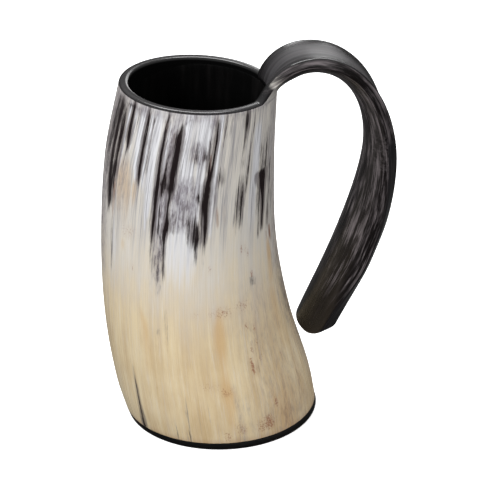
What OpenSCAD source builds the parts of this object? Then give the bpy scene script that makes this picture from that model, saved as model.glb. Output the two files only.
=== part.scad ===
// Horn drinking cup: a leaning length of ox horn that stands on a black base disc.
// A strip of horn rises from the rim, bends over and runs down to the foot as the handle.
// Millimetres, +Z up. The origin is the centre of the foot's underside, and the handle lies towards +X.

/* [Horn] */
// Height of the middle of the rim above the table
rim_h = 129.5; // [110:0.5:160]
// Width of the foot, measured towards the handle
foot_w = 69.4; // [62:0.2:80]
// Width of the rim, measured towards the handle
rim_w = 54.2; // [46:0.2:62]
// Depth of every section as a share of its width
depth_share = 0.925; // [0.8:0.005:1]
// How far the horn bows away from the handle
lean = 11.5; // [4:0.5:16]
// How much lower the rim is beside the handle than opposite it
rim_drop = 3.4; // [0:0.2:5]
// Wall of the horn at the foot
foot_wall = 4.6; // [3.6:0.1:6]
// Wall of the horn at the rim
rim_wall = 3.6; // [3:0.1:5]
// Rounding of the two edges of the rim
lip_r = 1.2; // [0.4:0.1:1.4]

/* [Handle] */
// Thickness of the strip
strip_t = 6.6; // [4.2:0.1:8]
// Thickness of the strip's edges where it bends over
arch_edge_t = 3.9; // [2.8:0.1:6]
// Length of strip over which it thickens from the rim's wall
thicken_run = 10.5; // [6:0.5:30]
// Width of the strip where it bends over
arch_w = 18.6; // [15:0.2:24]
// Width of the strip where the hand holds it
grip_w = 24.8; // [18:0.2:26]
// Radius of the hollow across the strip where it bends over
arch_hollow_r = 16; // [13:0.5:40]
// Radius of the hollow across the strip where the hand holds it
grip_hollow_r = 13.6; // [13.2:0.2:20]
// Radius of the hollow across the strip at its tip
tip_hollow_r = 18.8; // [14:0.2:24]
// Clear space for the fingers between horn and strip
finger_gap = 32; // [24:0.5:40]
// How far below the rim the strip stands out furthest
reach_drop = 25.8; // [20:0.2:40]
// Height of the strip's tip above the table
tip_h = 32; // [22:0.5:44]
// Length of strip over which its rows turn level towards the cut of the tip
tip_cut_run = 14; // [8:0.5:30]
// Space left between the tip and the horn
tip_gap = 0.3; // [0.2:0.05:1]
// Rounding of the two corners of the tip
tip_corner_r = 6; // [2:0.5:8]
// Bevel along the edges of the strip
edge_r = 1.2; // [0.4:0.1:1.5]
// How far to the front of its middle plane the strip leaves the rim
root_skew = 5.3; // [0:0.1:9]
// Length of strip over which it swings back to its middle plane
skew_run = 43; // [30:1:60]
// How far the root spreads along the rim at the front
front_flare = 4; // [2:0.5:8]
// How far the root spreads along the rim at the back
back_flare = 4; // [2:0.5:8]
// Height of the curve between rim and strip at the front
front_fillet = 12; // [6:0.5:14]
// Height of the curve between rim and strip at the back
back_fillet = 5; // [3:0.5:10]

/* [Base] */
// Thickness of the base disc's visible edge
base_t = 2.8; // [2:0.1:6]
// How far the base disc's spigot reaches up into the horn
spigot_h = 5; // [3:0.5:10]
// Rounding of the base disc's lower edge
base_round = 0.8; // [0.2:0.1:1.6]
// Thickness of the glue between base disc and horn
glue_t = 0.3; // [0.2:0.05:0.6]

/* [Lining] */
// Thickness of the black lining of the inside
coat_t = 0.5; // [0.3:0.05:1]

/* [Hidden] */

// Clearance on curved faces that are glued or coated
seat_gap = 0.04;
// Heights of the horn's sections, as shares of the rim's height
station_shares = [0, 0.12, 0.32, 0.55, 0.8, 1];
// How far each section has gone from the foot's width to the rim's
taper_shares = [0, -0.077, 0.197, 0.496, 0.704, 1];
// How much of the bow each section has
bow_shares = [0, 0.3, 0.762, 1, 0.928, 0.657];
// Least rounding of the rim, under the handle's root
least_lip_share = 0.05;
// Degrees over which the rim's rounding fades out beside the root
lip_fade = 10;
// Direction in which the strip leaves the rim, in degrees above level
root_angle = 79.6;
// Direction of the strip's tip, in degrees from hanging straight down
tip_angle = 21.6;
// Lengths of the tangents that shape the strip's middle line
root_pull = 17.2;
top_pull = 35;
grip_pull = 19.6;
tip_pull = 13.6;
// Stretch of the strip over which its hollow deepens, and where it opens again
hollow_from_share = 0.21;
hollow_to_share = 0.67;
tip_from_share = 0.757;
// Most of the edge's thickness that one bevel takes
bevel_share = 0.42;
// Stretches of the two curves of the strip that take closer rows
root_rows_share = 0.28;
tip_rows_share = 0.14;

// Points round a section, levels up the horn, steps round a rounded edge
sides = 60;
levels = 18;
turns = 3;
// Rows of the strip at its root, along each curve and at its tip, and columns across it
root_rows = 8;
curve_rows = 20;
tip_rows = 6;
columns = 12;

// Curves and sections of the horn
function mix(a, b, k) = a + (b - a) * k;
function clamp(x) = min(1, max(0, x));
function smooth(x) = clamp(x) * clamp(x) * (3 - 2 * clamp(x));
function grade(xs, ys, i) =
    let (a = max(0, i - 1), b = min(len(xs) - 1, i + 1))
    (ys[b] - ys[a]) / (xs[b] - xs[a]);
function curve(xs, ys, x) =
    let (
        i = max([for (k = [0:len(xs) - 2]) if (xs[k] <= x) k]),
        h = xs[i + 1] - xs[i],
        u = (x - xs[i]) / h,
        v = 1 - u
    )
    ys[i] * (1 + 2 * u) * v * v + grade(xs, ys, i) * h * u * v * v
    + ys[i + 1] * (3 - 2 * u) * u * u - grade(xs, ys, i + 1) * h * u * u * v;

function width_at(t) = mix(foot_w, rim_w, curve(station_shares, taper_shares, t));
function centre_at(t) = -lean * curve(station_shares, bow_shares, t);
function wall_at(t) = mix(foot_wall, rim_wall, t);
rim_x = centre_at(1);
rim_tilt = rim_drop / rim_w;
function height_at(t, x) = rim_h * t - rim_tilt * (x - rim_x) * smooth(2 * t - 1);
function front_x(z) = centre_at(z / rim_h) + width_at(z / rim_h) / 2;

// A point of the horn's section at height share t, drawn in by inset, at angle a
function horn_point(t, inset, a, drop = 0) =
    let (
        r = width_at(t) / 2,
        x = centre_at(t) + (r - inset) * cos(a)
    )
    [x, (r * depth_share - inset) * sin(a), height_at(t, x) - drop];
angles = [for (k = [0:sides - 1]) 360 * k / sides];
function ring(t, inset) = [for (a = angles) horn_point(t, inset, a)];
function bore_ring(t, gap = 0) = ring(t, wall_at(t) + gap);

// Heights where pieces meet, as shares of the rim's height
base_level = base_t / rim_h;
horn_level = (base_t + glue_t) / rim_h;
floor_level = (base_t + spigot_h) / rim_h;
coat_level = (base_t + spigot_h + coat_t) / rim_h;
coat_top_level = 1 - 2 * lip_r / rim_h;
outer_levels = [for (i = [0:levels]) mix(horn_level, 1, i / levels)];
inner_levels = [for (i = [0:levels]) mix(floor_level, coat_top_level, i / levels)];

// Middle line of the strip, as two curves that join where it stands out furthest
mid_a = (rim_w - rim_wall) / 2;
mid_b = (rim_w * depth_share - rim_wall) / 2;
root_turn = -asin(root_skew / mid_b);
root_x = rim_x + mid_a * cos(root_turn);
reach_h = rim_h - reach_drop;
reach_x = front_x(reach_h) + finger_gap + strip_t / 2;
tip_x = front_x(tip_h) + tip_gap + strip_t / 2 / cos(tip_angle);
root_p = [root_x, height_at(1, root_x)];
reach_p = [reach_x, reach_h];
tip_p = [tip_x, tip_h];
arch_curve = [
    root_p,
    root_p + root_pull * [cos(root_angle), sin(root_angle)],
    reach_p + [0, top_pull],
    reach_p
];
grip_curve = [
    reach_p,
    reach_p - [0, grip_pull],
    tip_p + tip_pull * [sin(tip_angle), cos(tip_angle)],
    tip_p
];
function bezier(c, t) =
    c[0] * (1 - t) ^ 3 + 3 * c[1] * t * (1 - t) ^ 2 + 3 * c[2] * t ^ 2 * (1 - t) + c[3] * t ^ 3;
function bezier_run(c, t) =
    (c[1] - c[0]) * (1 - t) ^ 2 + 2 * (c[2] - c[1]) * t * (1 - t) + (c[3] - c[2]) * t ^ 2;
function middle(q) = q < 1 ? bezier(arch_curve, q) : bezier(grip_curve, q - 1);
function heading(q) =
    let (d = q < 1 ? bezier_run(arch_curve, q) : bezier_run(grip_curve, q - 1))
    d / norm(d);

// Rows of the strip, closer together in the root's curve and round the tip
rows = concat(
    [for (i = [0:root_rows - 1]) root_rows_share * (1 - cos(90 * i / root_rows))],
    [for (i = [0:curve_rows - 1]) mix(root_rows_share, 1, i / curve_rows)],
    [for (i = [0:curve_rows - 1]) mix(1, 2 - tip_rows_share, i / curve_rows)],
    [for (i = [0:tip_rows]) 2 - tip_rows_share * (1 - sin(90 * i / tip_rows))]
);
function run_to(i) = i == 0 ? 0 : run_to(i - 1) + norm(middle(rows[i]) - middle(rows[i - 1]));
row_runs = [for (i = [0:len(rows) - 1]) run_to(i)];
strip_run = row_runs[len(rows) - 1];

// Angles of the rim that the root spreads over
function rim_degrees(run) = run / mid_b * 180 / PI;
front_span = rim_degrees(arch_w / 2 + front_flare);
back_span = rim_degrees(arch_w / 2 + back_flare);
function root_angle_at(v) = root_turn + v * (v < 0 ? front_span : back_span);

// Hollow, width and thickness of the strip after a run s along it
function deepen(s) = smooth((s / strip_run - hollow_from_share) / (hollow_to_share - hollow_from_share));
function reopen(s) = smooth((s / strip_run - tip_from_share) / (1 - tip_from_share));
function bend_at(s) = mix(mix(1 / arch_hollow_r, 1 / grip_hollow_r, deepen(s)), 1 / tip_hollow_r, reopen(s));
function corner_at(s) =
    let (k = clamp((s - strip_run) / tip_corner_r + 1))
    tip_corner_r * (1 - sqrt(1 - k * k));
function half_at(s) = mix(arch_w, grip_w, deepen(s)) / 2 - corner_at(s);
function cut_at(s) = tan(tip_angle) * smooth((s - strip_run) / tip_cut_run + 1);
function swing_at(s) = -root_skew * (1 - smooth(s / skew_run));
function edge_at(s) = mix(arch_edge_t, strip_t, deepen(s));
function thick_at(s, v) = mix(rim_wall, mix(strip_t, edge_at(s), v * v), smooth(s / thicken_run));

// A point of the strip in row i: v runs from its front edge (-1) to its back edge (1),
// and f from its hollow face (-0.5) to its round face (0.5)
function wall_point(i, v, f) =
    horn_point(1, rim_wall * (0.5 - f), root_angle_at(v)) + [0, 0, row_runs[i]];
function arc_point(i, v, f) =
    let (
        s = row_runs[i],
        r = 1 / bend_at(s),
        a = v * asin(half_at(s) / r),
        o = r + f * thick_at(s, v),
        p = middle(rows[i]),
        d = heading(rows[i]),
        h = r - o * cos(a),
        c = h * cut_at(s)
    )
    [p[0] - d[1] * h - d[0] * c, swing_at(s) + o * sin(a), p[1] + d[0] * h - d[1] * c];
function strip_point(i, v, f) =
    let (k = clamp(row_runs[i] / mix(front_fillet, back_fillet, (v + 1) / 2)))
    mix(wall_point(i, v, f), arc_point(i, v, f), sqrt(1 - (1 - k) ^ 2));
function strip_loop(i) =
    let (
        s = row_runs[i],
        v = 1 - edge_r / half_at(s),
        f = 0.5 - min(bevel_share, edge_r / thick_at(s, 1))
    )
    concat(
        [for (j = [0:columns]) strip_point(i, mix(-v, v, j / columns), 0.5)],
        [strip_point(i, 1, f), strip_point(i, 1, -f)],
        [for (j = [0:columns]) strip_point(i, mix(v, -v, j / columns), -0.5)],
        [strip_point(i, -1, -f), strip_point(i, -1, f)]
    );

// Rounding of the rim at angle a, which fades out under the handle's root
function lip_at(a) =
    let (
        turned = (a - root_turn + 540) % 360 - 180,
        beyond = max(-turned - front_span, turned - back_span)
    )
    lip_r * mix(least_lip_share, 1, smooth(beyond / lip_fade));
function outer_lip(turn) =
    [for (a = angles) horn_point(1, lip_at(a) * (1 - cos(turn)), a, lip_at(a) * (1 - sin(turn)))];
function inner_lip(turn) =
    [for (a = angles) horn_point(1, rim_wall - lip_at(a) * (1 - sin(turn)), a, lip_at(a) * (1 - cos(turn)))];

// A solid through rings of equal length: ended by two flat faces, or joined end to end
module skin(rings, joined = false) {
    n = len(rings[0]);
    m = len(rings);
    walls = [
        for (i = [0:m - (joined ? 1 : 2)], j = [0:n - 1], half = [0, 1])
            let (
                a = i * n + j,
                b = i * n + (j + 1) % n,
                c = (i + 1) % m * n + (j + 1) % n,
                d = (i + 1) % m * n + j
            )
            half == 0 ? [a, c, b] : [a, d, c]
    ];
    ends = joined ? [] : [[for (j = [0:n - 1]) j], [for (j = [n - 1:-1:0]) (m - 1) * n + j]];
    polyhedron(points = [for (r = rings, p = r) p], faces = concat(walls, ends), convexity = 10);
}

module horn_body() {
    color("cornsilk") skin(concat(
        [for (i = [0:levels - 1]) ring(outer_levels[i], 0)],
        [for (k = [0:turns]) outer_lip(90 * k / turns)],
        [for (k = [0:turns]) inner_lip(90 * k / turns)],
        [for (i = [levels:-1:0]) bore_ring(inner_levels[i])],
        [bore_ring(horn_level)]
    ), joined = true);
}

module handle() {
    color("dimgray") skin([for (i = [0:len(rows) - 1]) strip_loop(i)]);
}

module base_disc() {
    color("black") skin(concat(
        [for (k = [0:turns]) [
            for (p = ring(0, base_round * (1 - sin(90 * k / turns))))
                p + [0, 0, base_round * (1 - cos(90 * k / turns))]
        ]],
        [ring(base_level, 0)],
        [bore_ring(base_level, glue_t)],
        [bore_ring(floor_level, glue_t)]
    ));
}

module base_glue() {
    color("saddlebrown") skin([
        ring(base_level, 0),
        ring(horn_level, 0),
        bore_ring(horn_level, seat_gap),
        bore_ring(floor_level, seat_gap),
        bore_ring(floor_level, glue_t - seat_gap),
        bore_ring(base_level, glue_t - seat_gap)
    ], joined = true);
}

module inner_lining() {
    color("#151515") skin(concat(
        [for (t = inner_levels) bore_ring(t, seat_gap)],
        [for (i = [levels:-1:1]) bore_ring(inner_levels[i], coat_t)],
        [bore_ring(coat_level, coat_t)]
    ));
}

horn_body();
handle();
base_disc();
base_glue();
inner_lining();
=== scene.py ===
"""Horn drinking cup: a leaning horn, the strip cut from it as a handle, its black lining and base."""

import logging
import math
from dataclasses import dataclass, field
from enum import Enum
from typing import Any, Mapping, Optional, Sequence, Union

import bpy
import numpy as np
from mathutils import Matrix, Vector


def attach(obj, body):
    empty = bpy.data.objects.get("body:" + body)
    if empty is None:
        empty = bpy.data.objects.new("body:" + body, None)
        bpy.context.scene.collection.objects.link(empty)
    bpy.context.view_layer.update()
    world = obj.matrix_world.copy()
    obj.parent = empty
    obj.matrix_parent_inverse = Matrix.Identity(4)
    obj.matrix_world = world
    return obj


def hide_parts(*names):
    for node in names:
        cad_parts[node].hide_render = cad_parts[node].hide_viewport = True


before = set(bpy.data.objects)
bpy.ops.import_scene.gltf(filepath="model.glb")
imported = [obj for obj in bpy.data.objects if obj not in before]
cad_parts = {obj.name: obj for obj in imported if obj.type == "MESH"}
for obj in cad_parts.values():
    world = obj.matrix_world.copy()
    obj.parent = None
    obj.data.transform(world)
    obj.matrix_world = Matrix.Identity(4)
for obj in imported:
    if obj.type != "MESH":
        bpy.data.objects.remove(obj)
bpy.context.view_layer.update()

LOG = logging.getLogger("horn_cup")
MM = 0.001
BODY = "root"

Array = np.ndarray
Number = Union[float, Array]
Colour = tuple[float, float, float]
Knot = tuple[float, float, float, float]


def mix(start: Any, end: Any, share: Any) -> Any:
    """The number, array or socket that lies this share of the way from start to end."""
    return start + (end - start) * share


def ease(value: Number) -> Array:
    """A smooth step from 0 to 1 as value goes from 0 to 1."""
    held = np.clip(value, 0.0, 1.0)
    return held * held * (3.0 - 2.0 * held)


def smooth_curve(xs: Array, ys: Array, at: Number) -> Array:
    """Read a smooth curve through points.

    Args:
        xs: Where the points lie, in rising order.
        ys: The curve's values there.
        at: Where to read the curve.

    Returns:
        The curve's values.
    """
    last = len(xs) - 1
    before = np.maximum(np.arange(last + 1) - 1, 0)
    after = np.minimum(np.arange(last + 1) + 1, last)
    grade = (ys[after] - ys[before]) / (xs[after] - xs[before])
    at = np.asarray(at, float)
    i = np.clip(np.searchsorted(xs, at, side="right") - 1, 0, last - 1)
    span = xs[i + 1] - xs[i]
    u = (at - xs[i]) / span
    v = 1 - u
    rise = ys[i] * (1 + 2 * u) * v * v + grade[i] * span * u * v * v
    return rise + ys[i + 1] * (3 - 2 * u) * u * u - grade[i + 1] * span * u * u * v


def unit(vectors: Array) -> Array:
    """The same vectors at length one."""
    return vectors / np.linalg.norm(vectors, axis=-1, keepdims=True)


def linear(red: int, green: int, blue: int) -> Colour:
    """Turn a colour picked on a screen into the renderer's own values.

    Args:
        red: Red from 0 to 255.
        green: Green from 0 to 255.
        blue: Blue from 0 to 255.

    Returns:
        The colour as three linear values.
    """
    parts = [c / 255.0 for c in (red, green, blue)]
    return tuple(c / 12.92 if c <= 0.04045 else ((c + 0.055) / 1.055) ** 2.4 for c in parts)


class Sock:
    """A node's output socket that takes part in Python arithmetic."""

    def __init__(self, graph: "Graph", socket: Any) -> None:
        """Keep the graph that new nodes go to and the socket itself."""
        self.graph = graph
        self.socket = socket

    def _math(self, operation: str, first: Any, second: Any) -> "Sock":
        """Add one Math node with these two operands."""
        return self.graph.add("ShaderNodeMath", {"operation": operation}, {0: first, 1: second})

    def __add__(self, other: Any) -> "Sock":
        """Sum with a value or socket."""
        return self._math("ADD", self, other)

    def __radd__(self, other: Any) -> "Sock":
        """Sum with a plain number on the left."""
        return self._math("ADD", other, self)

    def __sub__(self, other: Any) -> "Sock":
        """Difference from a value or socket."""
        return self._math("SUBTRACT", self, other)

    def __rsub__(self, other: Any) -> "Sock":
        """Difference from a plain number on the left."""
        return self._math("SUBTRACT", other, self)

    def __mul__(self, other: Any) -> "Sock":
        """Product with a value or socket."""
        return self._math("MULTIPLY", self, other)

    def __rmul__(self, other: Any) -> "Sock":
        """Product with a plain number on the left."""
        return self._math("MULTIPLY", other, self)

    def __truediv__(self, other: Any) -> "Sock":
        """Quotient by a value or socket."""
        return self._math("DIVIDE", self, other)

    def __rtruediv__(self, other: Any) -> "Sock":
        """Quotient of a plain number by this."""
        return self._math("DIVIDE", other, self)

    def __mod__(self, other: Any) -> "Sock":
        """Remainder after division by a value or socket."""
        return self._math("MODULO", self, other)

    def __rmod__(self, other: Any) -> "Sock":
        """Remainder of a plain number after division by this."""
        return self._math("MODULO", other, self)

    def apply(self, operation: str) -> "Sock":
        """Add a Math node of one operand, such as FLOOR or COSINE."""
        return self._math(operation, self, 0.0)


class Graph:
    """Adds nodes to one tree, for materials and for geometry."""

    def __init__(self, tree: Any) -> None:
        """Keep the tree that the nodes go to."""
        self.tree = tree

    def add(
        self,
        kind: str,
        settings: Optional[Mapping[str, Any]] = None,
        inputs: Optional[Mapping[Union[str, int], Any]] = None,
        out: Union[str, int] = 0,
    ) -> Sock:
        """Add a node, set it up and link it.

        Args:
            kind: Blender's name of the node type.
            settings: Properties of the node, set before its sockets.
            inputs: Values or sockets for its inputs, by name or number.
            out: Which output to return.

        Returns:
            The chosen output, wrapped.
        """
        node = self.tree.nodes.new(kind)
        for key, value in (settings or {}).items():
            setattr(node, key, value)
        for key, value in (inputs or {}).items():
            self.feed(node.inputs[key], value)
        return Sock(self, node.outputs[out] if node.outputs else None)

    def feed(self, socket: Any, value: Any) -> None:
        """Link a wrapped socket to an input, or set the input's own value.

        Args:
            socket: The input.
            value: A wrapped socket, or the value to set.
        """
        if isinstance(value, Sock):
            self.tree.links.new(value.socket, socket)
        elif isinstance(value, tuple) and socket.type == "RGBA":
            socket.default_value = (*value, 1.0)
        else:
            socket.default_value = value

    def blend(self, share: Any, first: Any, second: Any) -> Sock:
        """Mix two colours by a share."""
        return self.add("ShaderNodeMix", {"data_type": "RGBA"}, {0: share, 6: first, 7: second}, 2)

    def step(self, value: Sock, low: float, high: float) -> Sock:
        """A smooth step from 0 to 1 as value goes from low to high."""
        inputs = {"Value": value, "From Min": low, "From Max": high}
        return self.add("ShaderNodeMapRange", {"interpolation_type": "SMOOTHSTEP"}, inputs)

    def stretch(self, vector: Sock, scale: Colour) -> Sock:
        """Scale a vector by a different factor along each axis."""
        return self.add("ShaderNodeVectorMath", {"operation": "MULTIPLY"}, {0: vector, 1: scale})

    def place(self) -> Sock:
        """Where each point lies on its piece."""
        return self.add("ShaderNodeTexCoord", {}, None, "Object")

    def axis(self, vector: Sock, number: int) -> Sock:
        """One coordinate of a vector."""
        return self.add("ShaderNodeSeparateXYZ", {}, {0: vector}, number)

    def paint(self, name: str) -> Sock:
        """Read a painted value of the mesh."""
        return self.add("ShaderNodeAttribute", {"attribute_name": name}, None, "Fac")

    def noise(self, vector: Sock, scale: float, detail: float, roughness: float) -> Sock:
        """Add a noise of about 0.5 on average.

        Args:
            vector: Where on the pattern each point lies.
            scale: How many grains there are per unit of the vector.
            detail: How many finer layers are added.
            roughness: How strong those layers are.

        Returns:
            The noise as a value.
        """
        inputs = {"Vector": vector, "Scale": scale, "Detail": detail, "Roughness": roughness}
        return self.add("ShaderNodeTexNoise", {}, inputs)

    def bump(self, height: Sock, strength: float, distance: float) -> Sock:
        """Turn a height into a normal."""
        inputs = {"Strength": strength, "Distance": distance, "Height": height}
        return self.add("ShaderNodeBump", {}, inputs)


def new_material(name: str) -> tuple[bpy.types.Material, Graph]:
    """Make an empty material.

    Args:
        name: The material's name.

    Returns:
        The material and a graph for its nodes.
    """
    material = bpy.data.materials.new(name)
    material.use_nodes = True
    material.node_tree.nodes.clear()
    return material, Graph(material.node_tree)


def close_material(graph: Graph, inputs: Mapping[str, Any]) -> None:
    """End a material in one Principled shader.

    Args:
        graph: The material's graph.
        inputs: Values or sockets for the shader's inputs.
    """
    shader = graph.add("ShaderNodeBsdfPrincipled", {}, inputs)
    graph.add("ShaderNodeOutputMaterial", {}, {"Surface": shader})


class Pigment(Enum):
    """What a streak of the horn is coloured with. The value is the name of its painted layer. The dark and
    mauve layers also carry some painted shade.
    """

    DARK = "dark"
    MAUVE = "mauve"
    WHITE = "white"
    TAN = "tan"
    BROWN = "brown"
    SPECK = "speck"


@dataclass(frozen=True)
class Streak:
    """A streak of pigment along the horn; a few dark and mauve streaks are painted shade instead.

    Each knot is an angle in degrees, a height in millimetres, a half width in degrees and a strength,
    from the streak's upper end down. The sides blur by soft, a share of the half width, and the ends run
    out over fade, in millimetres.
    """

    pigment: Pigment
    knots: tuple[Knot, ...]
    soft: float = 0.75
    fade: float = 3.5

    THINNEST = 0.2

    def weight(self, angle: Array, height: Array, widen: float = 0.0) -> Array:
        """Work out how strongly the streak colours each point.

        Args:
            angle: Angles of the points round the horn in degrees.
            height: Heights of the points in millimetres.
            widen: How much wider than itself the streak is taken, as a share and in degrees.

        Returns:
            One share for each point.
        """
        rows = np.array(self.knots[::-1])
        low, high = rows[0].copy(), rows[-1].copy()
        low[1] -= self.fade
        high[1] += self.fade
        low[3] = high[3] = 0.0
        rows = np.vstack([low, rows, high])
        near = (height > low[1]) & (height < high[1])
        centre, half, strength = (smooth_curve(rows[:, 1], rows[:, k], height[near]) for k in (0, 2, 3))
        reach = np.maximum(half * (1 + widen) + widen, self.THINNEST)
        away = np.abs((angle[near] - centre + 180.0) % 360.0 - 180.0) / reach
        inside = 1.0 - ease((away - 1.0 + self.soft) / (2.0 * self.soft))
        share = np.zeros_like(height)
        share[near] = np.clip(strength, 0.0, 1.0) * inside
        return share


# Short names for the tables
D, M, W, T, B = Pigment.DARK, Pigment.MAUVE, Pigment.WHITE, Pigment.TAN, Pigment.BROWN


def specks(angle: float, height: float, half: float, strength: float, tall: float = 1.0) -> Streak:
    """Make a patch of specks.

    Args:
        angle: Where its middle lies round the horn, in degrees.
        height: Where its middle lies in height, in millimetres.
        half: Its half width in degrees.
        strength: How dense the specks are.
        tall: How tall it is, in millimetres, before it fades.

    Returns:
        The patch.
    """
    ends = (height + tall / 2, height - tall / 2)
    knots = tuple((angle, end, half, strength) for end in ends)
    return Streak(Pigment.SPECK, knots, soft=0.95, fade=2.2)


WHITE_FIELDS: tuple[Streak, ...] = (
    Streak(W, (
        (-117, 131, 34, 0.5), (-114, 110, 30, 0.45), (-107, 96, 18, 0.6), (-103, 80, 13, 0.6),
        (-103, 66, 10, 0.3),
    ), 0.3, 8),
    Streak(W, (
        (-151.2, 127.5, 1.6, 1), (-151.6, 120, 1.2, 1), (-151.8, 113, 1.4, 1), (-152, 107, 1, 0.9),
        (-151.6, 104, 0.6, 0.5),
    )),
    Streak(W, ((-144, 126, 1.2, 0.9), (-144.2, 118, 1, 0.8), (-144.2, 113, 0.8, 0.5))),
    Streak(W, (
        (-137.6, 127.5, 2.6, 1), (-137.2, 118, 2.6, 1), (-136.6, 110, 2.4, 1), (-136, 104, 1.4, 0.8),
    )),
    Streak(W, ((-129.8, 126, 1.6, 1), (-130, 115, 1.6, 1), (-130, 104, 1.2, 0.8))),
    Streak(W, (
        (-124, 127, 3.5, 0.9), (-124.4, 112, 3.2, 0.9), (-124.6, 100, 2.8, 0.8), (-125.4, 92, 2.2, 0.7),
    )),
    Streak(W, ((-126, 96, 0.8, 0.8), (-126.2, 88, 0.7, 0.8))),
    Streak(W, ((-115.2, 124, 1, 1), (-115.6, 116, 1.2, 1), (-116, 110, 0.9, 1), (-116, 105, 0.5, 0.9))),
    Streak(W, ((-117.4, 98, 0.6, 1), (-117.8, 90, 0.6, 1))),
    Streak(W, (
        (-102.4, 127.5, 3.4, 1), (-102.4, 116, 3.2, 0.9), (-101.8, 106, 3.2, 1), (-102.4, 96, 3.6, 0.8),
        (-103, 88, 4, 0.7), (-102, 78, 8, 0.5), (-102, 73, 8, 0.35), (-103, 67, 7, 0.15),
    ), 0.9, 10),
    Streak(W, ((-91, 127, 6, 0.9), (-91, 116, 5.5, 0.9))),
    Streak(W, ((-90.5, 114, 3.2, 1), (-90.8, 100, 2.6, 1))),
    Streak(W, ((-97.6, 111, 2.4, 1), (-97.4, 103, 2, 0.9))),
    Streak(W, ((-93, 98, 3.4, 0.9), (-93, 91, 3, 0.8))),
    Streak(W, (
        (-79.5, 127, 2, 0.9), (-80, 118, 1.6, 0.9), (-80.5, 110, 1.8, 0.9), (-81.5, 102, 2, 0.9),
        (-82.6, 94, 1.8, 0.8), (-83, 86, 1.6, 0.6),
    )),
    Streak(W, ((-47, 118, 4, 0.8), (-47.5, 104, 4, 0.8), (-50, 96, 5, 0.6), (-51, 86, 5, 0.4)), 0.5, 8),
    Streak(W, ((-154, 86, 1, 0.4), (-153.4, 78, 2.4, 0.45), (-153.6, 71, 2.2, 0.35)), 0.95, 6),
    Streak(W, ((-139, 81, 2.4, 0.4), (-139.4, 72, 2.4, 0.35)), 0.95, 6),
)

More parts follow.
